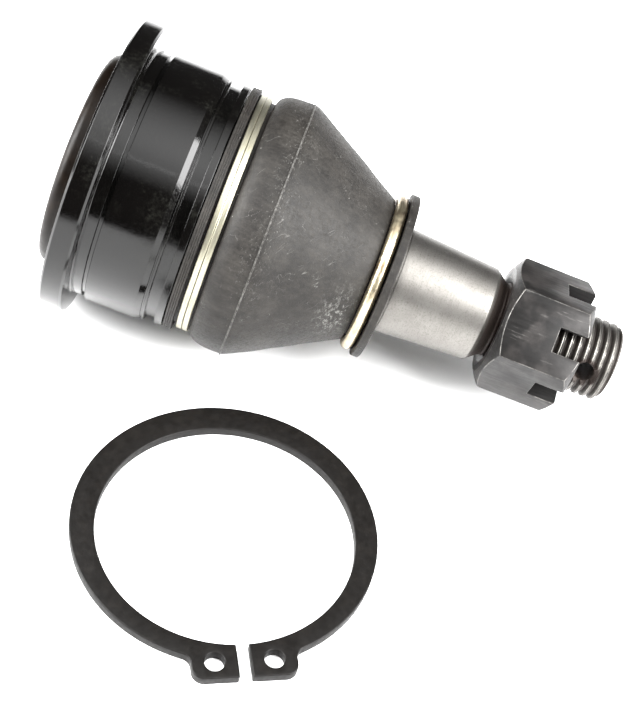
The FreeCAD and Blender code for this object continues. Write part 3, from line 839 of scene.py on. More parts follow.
@dataclass(frozen=True)
class NutPhosphate(Finish):
    """Dark phosphate on the castle nut, brushed along its flats, stained, and rubbed bright on its edges."""

    slot: str = "nut_dark"
    base: Colour = rgb(0.0048, 0.004, 0.0037)
    grey: Colour = rgb(0.0165, 0.0148, 0.014)
    stain: Colour = rgb(0.00321, 0.00286, 0.00264)
    bright: Colour = rgb(0.157, 0.152, 0.143)
    # Near-black painted shade for the walls and beds of the slots.
    painted_slot_shade: Colour = rgb(0.0018, 0.0014, 0.0012)

    def coat(self, paint: Paint) -> None:
        """Grey clouds and stains, bright rubbing on flats and edges, and painted shade in the slots.

        Args:
            paint: the new material.
        """
        brushed = paint.noise(2.6, 5.0, 0.65, paint.stretched(0.1, 1.0, 1.0))
        clouded = paint.mix(paint.patches(0.2, 4.0, 0.36, 0.66, 0.62), self.base, self.grey)
        stained = paint.mix(paint.patches(0.15, 3.0, 0.5, 0.6), clouded, self.stain)
        rub = paint.times(paint.remap(brushed, 0.56, 0.74), paint.patches(0.25, 2.0, 0.48, 0.62))
        broken = paint.remap(paint.noise(0.5, 4.0, 0.65), 0.38, 0.64, 0.04, 0.7)
        wear = paint.times(paint.attribute("edge"), broken)
        worn = paint.mix(paint.most(paint.times(rub, 0.3), wear), stained, self.bright)
        # Painted shade: the slots are darkened towards black, and made rougher.
        painted_slot_shade_share = paint.attribute("painted_slot_shade_share")
        paint.set(
            Base_Color=paint.mix(painted_slot_shade_share, worn, self.painted_slot_shade),
            Metallic=paint.remap(wear, 0.0, 0.5, 0.2, 0.9),
            Roughness=paint.plus(paint.remap(brushed, 0.3, 0.7, 0.36, 0.5), paint.times(painted_slot_shade_share, 0.45)),
            Specular_IOR_Level=0.29,
        )
        paint.relief((brushed, 0.02, 0.35), (paint.noise(3.0, 4.0, 0.6), 0.012, 0.35))


@dataclass(frozen=True)
class RingBlack(Finish):
    """Oiled black finish of the punched snap ring, with the grain of the punch down its edges."""

    slot: str = "snap_ring_black"
    base: Colour = rgb(0.0025, 0.0021, 0.0018)
    worn: Colour = rgb(0.008, 0.0068, 0.0058)

    def coat(self, paint: Paint) -> None:
        """Clouds of wear over a grain that is drawn out upwards.

        Args:
            paint: the new material.
        """
        cloud = paint.patches(0.5, 5.0, 0.42, 0.72, 0.65)
        paint.set(
            Base_Color=paint.mix(paint.times(cloud, 0.4), self.base, self.worn),
            Roughness=paint.remap(paint.noise(1.1, 4.0), 0.3, 0.7, 0.4, 0.54),
            Specular_IOR_Level=0.15,
        )
        punched = paint.noise(2.2, 2.0, 0.6, paint.stretched(1.0, 1.0, 0.06))
        paint.relief((punched, 0.05, 0.5), (paint.noise(8.0, 3.0), 0.008, 0.4))


@dataclass(frozen=True)
class BearingPlastic(Finish):
    """Off-white acetal of the two bearings inside."""

    slot: str = "bearing_plastic"
    base: Colour = rgb(0.78, 0.77, 0.72)
    shade: Colour = rgb(0.7, 0.68, 0.6)

    def coat(self, paint: Paint) -> None:
        """Faint clouds in moulded plastic.

        Args:
            paint: the new material.
        """
        paint.set(Base_Color=paint.mix(paint.noise(0.6), self.base, self.shade), Roughness=0.42)
        paint.relief((paint.noise(2.0), 0.01, 0.3))


@dataclass(frozen=True)
class SpringSteel(Finish):
    """Blue-grey hardened steel of the preload spring inside."""

    slot: str = "spring_steel"
    base: Colour = rgb(0.3, 0.31, 0.34)
    shade: Colour = rgb(0.2, 0.2, 0.24)

    def coat(self, paint: Paint) -> None:
        """Faint clouds in hardened steel.

        Args:
            paint: the new material.
        """
        paint.set(Base_Color=paint.mix(paint.noise(0.8), self.base, self.shade), Metallic=1.0, Roughness=0.35)
        paint.relief((paint.noise(3.0), 0.008, 0.3))


# Sub-assemblies


def seat(piece: bpy.types.Object, body: Body, *nodes: str) -> None:
    """Makes a piece ride on a body and stand for CAD nodes, and reports it.

    Args:
        piece: the piece.
        body: the body.
        nodes: the CAD nodes.
    """
    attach(piece, body.value)
    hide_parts(*nodes)
    LOG.info("%s rides on %s: %d faces", piece.name, body.value, len(piece.data.polygons))


@dataclass
class HousingAssembly:
    """Forged housing with its closing cover and the bearings inside it."""

    columns: int = 256
    rim: float = 0.12
    flange_back: float = 3.8
    flange_front: float = 7.7
    flange_radius: float = 26.2
    flange_chamfer: float = 0.4
    flange_fillet: float = 0.35
    root_radius: float = 22.1
    relief_start: float = 9.9
    relief_radius: float = 21.6
    press_start: float = 10.6
    press_end: float = 19.4
    press_radius: float = 22.5
    bevel_end: float = 20.4
    lead_radius: float = 22.1
    step_radius: float = 21.85
    step_end: float = 20.7
    groove_start: float = 21.1
    groove_end: float = 23.0
    groove_radius: float = 21.2
    collar_end: float = 24.35
    neck_radius: float = 18.5
    neck_end: float = 28.45
    mouth_flare: float = 14.2
    mouth_radius: float = 11.6
    mouth_station: float = 22.7
    thrust_station: float = 19.9
    bore_radius: float = 14.6
    spigot_radius: float = 16.3
    spigot_station: float = 5.9
    cover_radius: float = 18.8
    cover_crown: float = 0.5
    cover_edge: float = 1.6
    cover_inside: float = 2.3
    cover_rim: float = 0.1
    cover_fillet: float = 0.4
    cover_spigot: float = 16.2
    cover_spigot_bore: float = 14.7
    cover_spigot_end: float = 5.8

    def outline(self) -> Array:
        """The housing's half section with small roundings.

        Returns:
            A closed outline, along the outside first and then back through the bore.
        """
        rim, fine = self.rim, self.rim / 2
        corners = [
            (self.flange_back, self.spigot_radius, fine),
            (self.flange_back, self.flange_radius - self.flange_chamfer, rim),
            (self.flange_back + self.flange_chamfer, self.flange_radius, rim),
            (self.flange_front - self.flange_chamfer, self.flange_radius, rim),
            (self.flange_front, self.flange_radius - self.flange_chamfer, rim),
            (self.flange_front, self.root_radius, self.flange_fillet),
            (self.relief_start, self.root_radius, rim),
            (self.relief_start, self.relief_radius, fine),
            (self.press_start, self.relief_radius, fine),
            (self.press_start, self.press_radius, rim),
            (self.press_end, self.press_radius, rim),
            (self.bevel_end, self.lead_radius, fine),
            (self.bevel_end, self.step_radius, fine),
            (self.step_end, self.step_radius, fine),
            (self.step_end, self.lead_radius, fine),
            (self.groove_start, self.lead_radius, fine),
            (self.groove_start, self.groove_radius, fine),
            (self.groove_end, self.groove_radius, fine),
            (self.groove_end, self.lead_radius, rim),
            (self.collar_end, self.lead_radius, rim),
            (self.collar_end, self.neck_radius, fine),
            (self.neck_end, self.neck_radius, rim),
            (self.neck_end, self.mouth_flare, rim),
            (self.mouth_station, self.mouth_radius, rim),
            (self.thrust_station, self.bore_radius, fine),
            (self.spigot_station, self.bore_radius, fine),
            (self.spigot_station, self.spigot_radius, fine),
        ]
        return soften(corners, closed=True)

    def cover_outline(self) -> Array:
        """The cover's half section: a shallow dome, a rounded edge and the spigot behind it.

        The dome is part of a ball of radius (reach^2 + crown^2) / (2 * crown).

        Returns:
            An outline that starts and ends on the axis.
        """
        reach, crown, rim = self.cover_radius - self.cover_edge, self.cover_crown, self.cover_rim
        ball = (reach**2 + crown**2) / (2 * crown)
        across = np.linspace(0.0, reach, 24)
        dome = np.stack([ball - np.sqrt(ball**2 - across**2), across], -1)
        edge = arc((crown + self.cover_edge, reach), self.cover_edge, 180, 90, 14)
        corners = [
            (crown + self.cover_edge, self.cover_radius, 0.0),
            (self.flange_back, self.cover_radius, rim),
            (self.flange_back, self.cover_spigot, rim),
            (self.cover_spigot_end, self.cover_spigot, rim),
            (self.cover_spigot_end, self.cover_spigot_bore, rim),
            (self.cover_inside, self.cover_spigot_bore, self.cover_fillet),
            (self.cover_inside, 0.0, 0.0),
        ]
        return np.concatenate([dome[:-1], edge[:-1], soften(corners)])

    def build(self) -> None:
        """Builds and dresses the housing and its cover, and dresses the solids inside."""
        housing = turned("housing_body", self.outline(), True, self.columns)
        GlossyBlack().dress(housing)
        seat(housing, Body.HOUSING, "housing")
        cover = turned("closing_cover", self.cover_outline(), False, self.columns)
        CoverBlack().dress(cover)
        seat(cover, Body.HOUSING, "cover_plate")
        solids = frame["nodes"]
        BearingPlastic().dress(solids["upper_bearing"], solids["lower_bearing"])
        SpringSteel().dress(solids["preload_spring"])
        LOG.info("upper_bearing, lower_bearing and preload_spring keep the shape of their solids")


@dataclass
class DustBoot:
    """Rubber boot with its two wire rings. It is made as two bands that meet at one ring of points."""

    columns: int = 288
    lip_radius: float = 22.0
    lip_start: float = 24.55
    lip_line: float = 0.13
    lip_line_shares: tuple[float, ...] = (0.3, 0.55, 0.8)
    clip_start: float = 26.05
    clip_end: float = 29.05
    clip_floor: float = 20.5
    clip_land: float = 0.05
    swell_start: float = 20.7
    swell_length: float = 3.9
    shoulder_radius: float = 22.95
    fold: float = 35.45
    nub: float = 0.25
    nub_foot: float = 0.02
    seam_reach: float = 3.0
    seam_drop: float = 1.2
    bend_station: float = 37.9
    bend_radius: float = 21.98
    bend_power: float = 1.25
    cone_end: float = 54.05
    cone_radius: float = 13.0
    ring_floor: float = 12.1
    ring_end: float = 56.65
    end_radius: float = 14.95
    end_station: float = 58.05
    neck_bore: float = 18.7
    stud_bore: float = 9.6
    wall: float = 1.6
    throat_start: float = 28.65
    throat_end: float = 30.45
    root_inset: float = 2.4
    root_drop: float = 0.5
    bend_inset: float = 0.8
    outside_step: float = 0.7
    inside_step: float = 0.6
    first_bend: float = 28.2
    meeting: float = 38.8
    still: float = 0.6
    last_bend: float = 48.8
    clip_height: float = 0.8
    clip_width: float = 0.98
    clip_rounding: float = 0.16
    clip_pitch: float = 1.05
    clip_turns: float = 1.8
    clip_first: float = 26.12
    clip_steps: int = 520
    wire_radius: float = 1.05
    wire_lift: float = 0.1
    dent_depth: float = 0.05
    squeeze: float = 0.06
    phases: Array = field(default_factory=lambda: np.random.default_rng(7).uniform(0, FULL_TURN, 12))

    def lip(self) -> Array:
        """The lip with its moulded lines, each a shallow V, and the clip's seat.

        Returns:
            An open outline from the lip's inner corner to the foot of the swell.
        """
        lines: list[Corner] = []
        for share in self.lip_line_shares:
            middle = self.lip_start + share * (self.clip_start - self.lip_start)
            lines += [
                (middle - self.lip_line, self.lip_radius, 0.05),
                (middle, self.lip_radius - self.lip_line, 0.03),
                (middle + self.lip_line, self.lip_radius, 0.05),
            ]
        corners = [
            (self.lip_start, self.neck_bore, 0.0),
            (self.lip_start, self.lip_radius, 0.2),
            *lines,
            (self.clip_start, self.lip_radius, 0.1),
            (self.clip_start, self.clip_floor, 0.1),
            (self.clip_end, self.clip_floor, 0.05),
            (self.clip_end + self.clip_land, self.swell_start, 0.0),
        ]
        return soften(corners)

    def swell(self) -> Array:
        """The swell from the clip up to the shoulder: length * (1 - cos) ahead and height * sin outward.

        Returns:
            An open outline.
        """
        rise = np.radians(np.linspace(0.0, 90.0, 16))
        station = self.clip_end + self.clip_land + self.swell_length * (1 - np.cos(rise))
        radius = self.swell_start + (self.shoulder_radius - self.swell_start) * np.sin(rise)
        return np.stack([station, radius], -1)

    def bend(self) -> Array:
        """The bend from the fold to the cone, whose radius falls with the share of the way to a power.

        Returns:
            An open outline.
        """
        share = np.linspace(0.0, 1.0, 12)
        start = self.fold + self.nub
        drop = (self.shoulder_radius - self.bend_radius) * share**self.bend_power
        return np.stack([start + (self.bend_station - start) * share, self.shoulder_radius - drop], -1)

    def outer(self) -> Array:
        """The boot's outside: lip, swell, ridge of the mould line, bend, cone, ring seat and small end.

        Returns:
            An open outline from the inner corner of its lip to the bore at its small end.
        """
        bend = self.bend()
        foot, top = self.shoulder_radius + self.nub_foot, self.shoulder_radius + self.nub
        ridge = [
            (self.fold - 1.6 * self.nub, self.shoulder_radius, 0.0),
            (self.fold - 0.5 * self.nub, foot, 0.1),
            (self.fold - 0.3 * self.nub, top, 0.05),
            (self.fold + 0.3 * self.nub, top, 0.05),
            (self.fold + 0.5 * self.nub, foot, 0.1),
            (*bend[1], 0.0),
        ]
        after = [
            (*bend[-1], 0.0),
            (self.cone_end, self.cone_radius, 0.15),
            (self.cone_end, self.ring_floor, 0.2),
            (self.ring_end, self.ring_floor, 0.2),
            (self.ring_end, self.end_radius, 0.12),
            (self.end_station, self.end_radius, 0.2),
            (self.end_station, self.stud_bore, 0.0),
        ]
        parts = [self.lip()[:-1], self.swell(), soften(ridge, steps=4)[:-1], bend[1:-1], soften(after)]
        return np.concatenate(parts)

    def inner(self) -> Array:
        """The boot's inside, one wall under its outside between the small end and the throat.

        Returns:
            An open outline from the bore at its small end back to its lip.
        """
        corners = [
            (self.end_station, self.stud_bore, 0.0),
            (self.cone_end - self.wall, self.stud_bore, 0.2),
            (self.cone_end - self.root_inset, self.cone_radius - self.root_drop, 0.4),
            (self.bend_station - self.bend_inset, self.bend_radius - self.wall, 2.0),
            (self.fold - self.nub, self.shoulder_radius - self.wall, 1.0),
            (self.throat_end, self.shoulder_radius - self.wall, 0.6),
            (self.throat_start, self.neck_bore, 0.2),
            (self.lip_start, self.neck_bore, 0.0),
        ]
        return soften(corners)

    def dent(self, station: Array, angle: Array) -> Array:
        """Soft unevenness of the rubber.

        It is a sum of waves, sin(n * angle + phase) * sin(k * station + 2 * phase), each smaller than the one
        before. It fades to none at the boot's two seats.

        Args:
            station: stations along the axis.
            angle: angles round it.
        Returns:
            Outward shifts in millimetres.
        """
        waves, slow, fade = 0.0, 0.35, 4.0
        for index, phase in enumerate(self.phases):
            around = np.sin((index % 4 + 1) * angle + phase)
            waves += around * np.sin(slow * (1 + index / 5) * station + 2 * phase) / (1 + index / 3)
        start = np.clip((station - self.clip_end) / fade, 0, 1)
        end = np.clip((self.cone_end - 1 - station) / fade, 0, 1)
        return self.dent_depth * waves * (start * end)

    def band(self, name: str, rows: Array, normals: Array) -> bpy.types.Object:
        """One band of the boot: its part of the half section carried round, pushed in and out by dent().

        Where it meets the bench it lies flat: a height h over it becomes squeeze * log(1 + e^(h / squeeze)).

        Args:
            name: the band's name.
            rows: its part of the half section, as a closed outline.
            normals: the normals of those rows in the whole half section.
        Returns:
            The new object, whose attribute "seam" is one on the mould line.
        """
        station, height = rows[:, :1], rows[:, 1:]
        ahead, outward = normals[:, :1], normals[:, 1:]
        turn, step = round_way(self.columns), 0.01
        radius = height + self.dent(station, turn)
        slope_ahead = (self.dent(station + step, turn) - self.dent(station - step, turn)) / (2 * step)
        rise_round = self.dent(station, turn + step) - self.dent(station, turn - step)
        slope_round = rise_round / (2 * step) / radius
        shading = AXIS.direction(ahead - slope_ahead * outward, outward, turn)
        shading -= (slope_round * outward)[..., None] * AXIS.across(turn + math.pi / 2)
        shading /= np.linalg.norm(shading, axis=-1, keepdims=True)
        points = AXIS.place(station, radius, turn)
        squeeze = self.squeeze * MM
        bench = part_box("snap_ring")[0].z + squeeze
        points[..., 2] = bench + np.logaddexp(0.0, (points[..., 2] - bench) / squeeze) * squeeze
        piece = new_piece(name, points, grid_faces(len(rows), self.columns, True), shading)
        near = np.clip(1 - np.abs(station - self.fold) / self.seam_reach, 0, 1)
        outside = height > self.shoulder_radius - self.seam_drop
        mark(piece.data, "seam", "POINT", near * outside + 0 * turn)
        return piece

    def build_boot(self) -> None:
        """Builds the two bands, dresses them, and hides the CAD boot."""
        outside, inside = refine(self.outer(), self.outside_step), refine(self.inner(), self.inside_step)
        rows = np.concatenate([outside[:-1], inside[:-1]])
        normals = outline_normals(rows, True)
        count = len(outside) - 1
        first = int(np.argmin(np.abs(rows[:count, 0] - self.meeting)))
        second = count + int(np.argmin(np.abs(rows[count:, 0] - rows[first, 0])))
        front, rear = np.r_[second : len(rows), 0 : first + 1], np.r_[first : second + 1]
        shoulder = self.band("boot_shoulder", rows[front], normals[front])
        cone = self.band("boot_cone", rows[rear], normals[rear])
        BootRubber().dress(shoulder, cone)
        for piece in (shoulder, cone):
            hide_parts("dust_boot")
        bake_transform(shoulder)
        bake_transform(cone)
        LOG.info("boot_shoulder bends from housing to boot, and boot_cone from boot to boot_collar")

    def build_clip(self) -> None:
        """Flat wire wound in a helix: a rounded rectangle carried round the axis, a pitch ahead each turn."""
        wide, high, steps = self.clip_width, self.clip_height, self.clip_steps
        corners = [(0.0, 0.0), (0.0, high), (wide, high), (wide, 0.0)]
        section = soften([(*corner, self.clip_rounding) for corner in corners], closed=True)
        normals = outline_normals(section, True)
        turn = np.linspace(0.0, self.clip_turns * FULL_TURN, steps)[None]
        angle = turn + 1.5 * math.pi
        station = self.clip_first + self.clip_pitch * turn / FULL_TURN + section[:, :1]
        radius = self.clip_floor + self.wire_lift + section[:, 1:]
        quads = grid_faces(len(section), steps, True)
        quads = quads[(quads[:, 1] % steps) != 0]
        shading = AXIS.direction(normals[:, :1], normals[:, 1:], angle)
        piece = new_piece("boot_clip_coil", AXIS.place(station, radius, angle), quads, shading)
        start = np.arange(len(section)) * steps
        with editing(piece.data) as work:
            work.verts.ensure_lookup_table()
            for end in (start, (start + steps - 1)[::-1]):
                work.faces.new([work.verts[int(number)] for number in end])
        ClipWire().dress(piece)
        seat(piece, Body.HOUSING, "boot_clip")

    def build_ring(self) -> None:
        """Round wire ring: a circle of the wire's radius carried round the axis."""
        centre = ((self.cone_end + self.ring_end) / 2, self.ring_floor + self.wire_lift + self.wire_radius)
        piece = turned("boot_end_ring", arc(centre, self.wire_radius, 360, 0, 33)[:-1], True, 256)
        RingWire().dress(piece)
        seat(piece, Body.BOOT_COLLAR, "end_ring")

    def build(self) -> None:
        """Builds the boot, its clip and its ring."""
        self.build_boot()
        self.build_clip()
        self.build_ring()


@dataclass
class BallStud:
    """Ball, neck, taper and rolled thread in one turned piece, with a cross hole for a cotter pin."""

    columns: int = 200
    ball: float = 11.5
    flat: float = 10.6
    neck: float = 6.0
    neck_reach: float = 18.0
    flare_reach: float = 24.0
    seat_radius: float = 9.4
    taper_start: float = 58.9
    taper_end: float = 75.3
    taper_radius: float = 9.5
    taper_small: float = 8.475
    thread_start: float = 77.5
    thread_end: float = 99.8
    thread_radius: float = 7.0
    thread_chamfer: float = 0.9
    thread_undercut: float = 0.25
    thread_lead: float = 0.3
    thread_step: float = 0.075
    end_rows: tuple[float, ...] = (0.97, 0.5, 0.0)
    runout: float = 1.6
    pitch: float = 1.5
    depth: float = 0.86
    crest_share: float = 0.3
    flank_share: float = 0.52
    flank_roundness: float = 0.25
    seam: float = 0.09
    seam_share: float = 0.13
    hole_radius: float = 1.75
    hole_sink: float = 0.85
    hole_inset: float = 4.8
    hole_turn: float = 16.0
    hole_overrun: float = 2.0

    def outline(self) -> Array:
        """The half section from the flat on the ball to the start of the thread.

        The flare behind the taper is an arc of radius (run^2 + rise^2) / (2 * rise), tangent to the neck.

        Returns:
            An open outline that starts on the axis.
        """
        half = math.degrees(math.acos(self.flat / self.ball))
        last = math.degrees(math.asin(self.neck / self.ball))
        sphere = arc((AXIS.ball, 0.0), self.ball, 180 - half, last, 60)
        rise, run = self.seat_radius - self.neck, self.flare_reach - self.neck_reach
        flare = (run**2 + rise**2) / (2 * rise)
        turn = math.degrees(math.asin(run / flare))
        curve = arc((AXIS.ball + self.neck_reach, self.neck + flare), flare, 270, 270 + turn, 16)
        undercut = self.thread_radius - self.thread_undercut
        corners = [
            (*curve[-1], 0.0),
            (self.taper_start, self.seat_radius, 0.1),
            (self.taper_start, self.taper_radius, 0.1),
            (self.taper_end, self.taper_small, 0.25),
            (self.thread_start, undercut, 0.3),
            (self.thread_start + self.thread_lead, undercut, 0.0),
        ]
        start = np.array([[AXIS.ball - self.flat, 0.0]])
        return np.concatenate([start, sphere, curve, refine(soften(corners)[1:], 1.2)])

    def thread(self, station: Array, angle: Array) -> Array:
        """Radius of the thread.

        The phase of the helix is station / pitch - angle / turn. Its distance from the crest, folded to 0 at
        the crest and 1 in the root, gives flat crests, nearly straight flanks and flat roots, and a fine seam
        along the crest where rolling closed it. The depth fades in at the start, and a cone cuts the tip.

        Args:
            station: stations along the axis.
            angle: angles round it.
        Returns:
            Radii in millimetres.
        """
        phase = np.abs(((station / self.pitch - angle / FULL_TURN) % 1.0) - 0.5) * 2
        flank = np.clip((phase - self.crest_share) / self.flank_share, 0.0, 1.0)
        rounded = flank * flank * (3 - 2 * flank)
        cut = rounded * self.flank_roundness + flank * (1 - self.flank_roundness)
        cut = cut + self.seam / self.depth * np.exp(-((phase / self.seam_share) ** 2))
        fade = np.clip((station - self.thread_start) / self.runout, 0.0, 1.0)
        cone = self.thread_radius - self.thread_chamfer + (self.thread_end - station)
        crest = self.thread_radius - self.thread_undercut * (1 - fade)
        return np.minimum(crest - self.depth * cut * fade, cone)

    def surface(self, angle: Array) -> tuple[Array, Array]:
        """The whole stud as a grid: its half section, the thread's turns, and the rows that close its end.

        Args:
            angle: angles round the axis, as one row.
        Returns:
            Stations, one a row, and radii, a row for each.
        """
        plain = self.outline()
        start = self.thread_start + self.thread_lead
        threaded = np.arange(start, self.thread_end, self.thread_step)[1:, None]
        radius = np.concatenate([plain[:, 1:] + 0 * angle, self.thread(threaded, angle)])
        tip = radius[-1:]
        end = np.full((len(self.end_rows), 1), self.thread_end)
        station = np.concatenate([plain[:, :1], threaded, end])
        return station, np.concatenate([radius, *(tip * share for share in self.end_rows)])

    def soil_and_shade(self, station: Array, radius: Array) -> Array:
        """Soil and painted shade on the surface: soil in the thread by its depth and some on the end, and
        painted shade in full on the cone behind the thread, beside the nut.

        Args:
            station: stations, one a row.
            radius: radii, a row for each.
        Returns:
            Shares from 0 to 1, one for each radius.
        """
        clean_depth, span, least, more, on_end = 0.2, 0.55, 0.2, 0.6, 0.45
        behind, cone_in, cone_out = 0.1, 0.15, 2.5
        deep = np.clip((self.thread_radius - clean_depth - radius) / span, 0, 1)
        soil_and_shade = (station > self.thread_start - behind) * (least + more * deep)
        # Painted shade: the cone behind the thread, beside the nut, is darkened in full.
        cone = (station > self.taper_end + cone_in) & (station < self.thread_start + cone_out)
        soil_and_shade = np.maximum(soil_and_shade, cone * 1.0)
        soil_and_shade[-len(self.end_rows) :] = on_end
        return soil_and_shade

    def cutter(self, centre: Array, along: Array) -> bpy.types.Object:
        """The cotter hole's drill: a cylinder with a cone at each mouth.

        Args:
            centre: the drill's middle, in metres.
            along: its direction.
        Returns:
            The drill, as a closed piece.
        """
        far, mouth = self.thread_radius + self.hole_overrun, self.thread_radius - self.hole_sink
        thin, wide = self.hole_radius, self.hole_radius + self.hole_sink + self.hole_overrun
        corners = [(-far, 0.0), (-far, wide), (-mouth, thin), (mouth, thin), (far, wide), (far, 0.0)]
        outline = np.array(corners)
        turn = round_way(48)[0, :, None]
        ring = np.cos(turn) * AXIS.along + np.sin(turn) * np.cross(along, AXIS.along)
        points = centre + (outline[:, :1, None] * along + outline[:, 1:, None] * ring[None]) * MM
        drill = new_piece("cotter_drill", points, grid_faces(len(outline), len(ring), False))
        close_shell(drill.data, 1e-7)
        return drill

    def drill(self, piece: bpy.types.Object) -> None:
        """Cuts the cotter hole, and darkens it and its mouths with painted shade.

        Args:
            piece: the stud, whose mesh is changed.
        """
        tilt = math.radians(90.0 - self.hole_turn)
        centre = AXIS.middle(np.array(self.thread_end - self.hole_inset))
        along = AXIS.across(np.array(tilt))
        cutter = self.cutter(centre, along)
        cut = piece.modifiers.new("cotter_hole", "BOOLEAN")
        cut.operation = "DIFFERENCE"
        cut.solver = "EXACT"
        cut.object = cutter
        apply_modifiers(piece)
        bpy.data.objects.remove(cutter)
        margin, blur = 0.25, 0.3
        off = (vectors(piece.data.vertices, "co") - centre) / MM
        away = np.linalg.norm(np.cross(off, along), axis=1)
        layer = piece.data.attributes["soil_and_shade"].data
        soil_and_shade = np.zeros(len(away))
        layer.foreach_get("value", soil_and_shade)
        # Painted shade: the bore of the cotter hole and its mouths are darkened.
        near = np.clip((self.hole_radius + self.hole_sink + margin - away) / blur, 0, 1)
        layer.foreach_set("value", np.maximum(soil_and_shade, near).astype(np.float32))

    def build(self) -> None:
        """Builds the stud as one grid, drills its cross hole and dresses it."""
        angle = round_way(self.columns)
        station, radius = self.surface(angle)
        used, faces = close_poles(grid_faces(len(station), self.columns, False), radius)
        points = AXIS.place(station, radius, angle).reshape(-1, 3)
        piece = new_piece("ball_stud_forging", points[used], faces)
        mark(piece.data, "soil_and_shade", "POINT", self.soil_and_shade(station, radius).ravel()[used])
        self.drill(piece)
        piece.data.set_sharp_from_angle(angle=math.radians(32))
        StudSteel().dress(piece)
        seat(piece, Body.STUD, "ball_stud")


@dataclass
class CastleNut:
    """Hexagon castle nut: the CAD solid's exact form with its edges broken."""

    edge: float = 0.16
    half_width: float = 10.5
    slot_start: float = 86.0
    crown_end: float = 92.7

    def painted_slot_shade(self, piece: bpy.types.Object) -> None:
        """Marks the walls and beds of the slots for painted shade: faces beside the axis that lie deeper than
        the six flats.

        A face's depth is the flats' distance from the axis less its greatest reach along a flat's normal.

        Args:
            piece: the nut, which gets the face attribute that marks the painted shade.
        """
        margin, level, crown = 0.3, 0.95, self.crown_end
        centre, normal = vectors(piece.data.polygons, "center") / MM, vectors(piece.data.polygons, "normal")
        ahead = normal @ AXIS.along
        station = centre @ AXIS.along + AXIS.ball
        across = centre - (centre @ AXIS.along)[:, None] * AXIS.along
        outward = (across * normal).sum(1)
        flats = (np.abs(ahead) < 0.2) & (outward > self.half_width - 0.05)
        deep = self.half_width - (across @ normal[flats].T).max(1) > margin
        walls = deep & (station > self.slot_start) & (np.abs(ahead) < level)
        beds = deep & (ahead > level) & (station < crown - margin) & (station > self.slot_start - margin)
        turned_edge = outward > 0.5 * np.linalg.norm(across, axis=1)
        mark(piece.data, "painted_slot_shade_share", "FACE", (walls & ~turned_edge) | beds)

    def build(self) -> None:
        """Copies the nut's solid, joins its triangles, breaks its edges and dresses it."""
        piece = broken_edges("castle_nut_body", "castle_nut", self.edge, 2)
        self.painted_slot_shade(piece)
        NutPhosphate().dress(piece)
        seat(piece, Body.NUT, "castle_nut")


@dataclass
class SnapRing:
    """Loose external snap ring: punched flat, with rounded edges and two plier holes."""

    bore: float = 21.1
    outer: float = 25.0
    shift: float = 0.9
    thick: float = 1.75
    gap: float = 1.0
    tip: float = 26.8
    side: float = 8.2
    corner: float = 2.0
    nose: float = 0.3
    fillet: float = 1.8
    hole: float = 1.55
    edge: float = 0.22

    def half_outline(self) -> Array:
        """Half of the ring's edge, on the side where y is above zero, with the lug towards x.

        Returns:
            Points from the middle of its bore round the lug and the outside to its back.
        """
        start = math.degrees(math.asin(self.gap / self.bore))
        reach = self.outer + self.fillet
        fillet_y = self.side + self.fillet
        fillet_x = math.sqrt(reach**2 - fillet_y**2) - self.shift
        lean = math.degrees(math.atan2(fillet_y, fillet_x + self.shift))
        parts = [
            arc((0.0, 0.0), self.bore, 180, start, 150),
            np.array([[self.tip - self.nose, self.gap]]),
            arc((self.tip - self.nose, self.gap + self.nose), self.nose, 270, 360, 5),
            arc((self.tip - self.corner, self.side - self.corner), self.corner, 0, 90, 14),
            arc((fillet_x, fillet_y), self.fillet, 270, 180 + lean, 10),
            arc((-self.shift, 0.0), self.outer, lean, 180, 170),
        ]
        return np.concatenate(parts)

    def loops(self) -> list[Array]:
        """The ring's whole edge and its two plier holes.

        Returns:
            The three closed outlines.
        """
        half = self.half_outline()
        loops = [np.concatenate([half, half[::-1][1:-1] * np.array([1.0, -1.0])])]
        for sign in (1, -1):
            centre = ((self.bore + self.tip) / 2, sign * (self.gap + self.side) / 2)
            loops.append(arc(centre, self.hole, 0, 360, 49)[:-1])
        return loops

    def punched(self) -> bpy.types.Mesh:
        """Fills the loops as a flat curve, and gives it thickness and rounded edges.

        Returns:
            The ring's mesh, lying round the origin.
        """
        curve = bpy.data.curves.new("snap_ring_outline", "CURVE")
        curve.dimensions = "2D"
        curve.fill_mode = "BOTH"
        curve.extrude = (self.thick / 2 - self.edge) * MM
        curve.bevel_depth = self.edge * MM
        curve.bevel_resolution = 3
        curve.offset = -self.edge * MM
        for loop in self.loops():
            spline = curve.splines.new("POLY")
            spline.points.add(len(loop) - 1)
            places = np.concatenate([loop * MM, np.zeros((len(loop), 1)), np.ones((len(loop), 1))], 1)
            spline.points.foreach_set("co", places.ravel())
            spline.use_cyclic_u = True
        source = show("snap_ring_outline", curve)
        mesh = finished_mesh(source)
        bpy.data.objects.remove(source)
        return mesh

    def seating(self) -> Matrix:
        """Place of the ring on the bench, from the CAD ring's box and its two plier holes.

        Returns:
            The move from the origin, with the lugs turned from X to where they lie.
        """
        low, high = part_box("snap_ring")
        left, right = (Vector(mount(name)["pos_m"]) for name in ("plier_hole_left", "plier_hole_right"))
        middle, lugs = (low + high) / 2, (left + right) / 2
        across = right - left
        ahead = Vector((across.y, -across.x, 0.0)).normalized()
        if ahead.dot(lugs - middle) < 0:
            ahead = -ahead
        centre = Vector((lugs.x, lugs.y, 0.0)) - ahead * ((self.bore + self.tip) / 2 * MM)
        turn = Matrix.Rotation(math.atan2(ahead.y, ahead.x), 4, "Z")
        return Matrix.Translation((centre.x, centre.y, middle.z)) @ turn

    def build(self) -> None:
        """Punches the ring, lays it on the bench and dresses it."""
        mesh = self.punched()
        mesh.transform(self.seating())
        close_shell(mesh, 1e-6)
        mesh.shade_smooth()
        mesh.set_sharp_from_angle(angle=math.radians(40))
        piece = show("snap_ring_punched", mesh)
        RingBlack().dress(piece)
        seat(piece, Body.SNAP_RING, "snap_ring")


# Studio


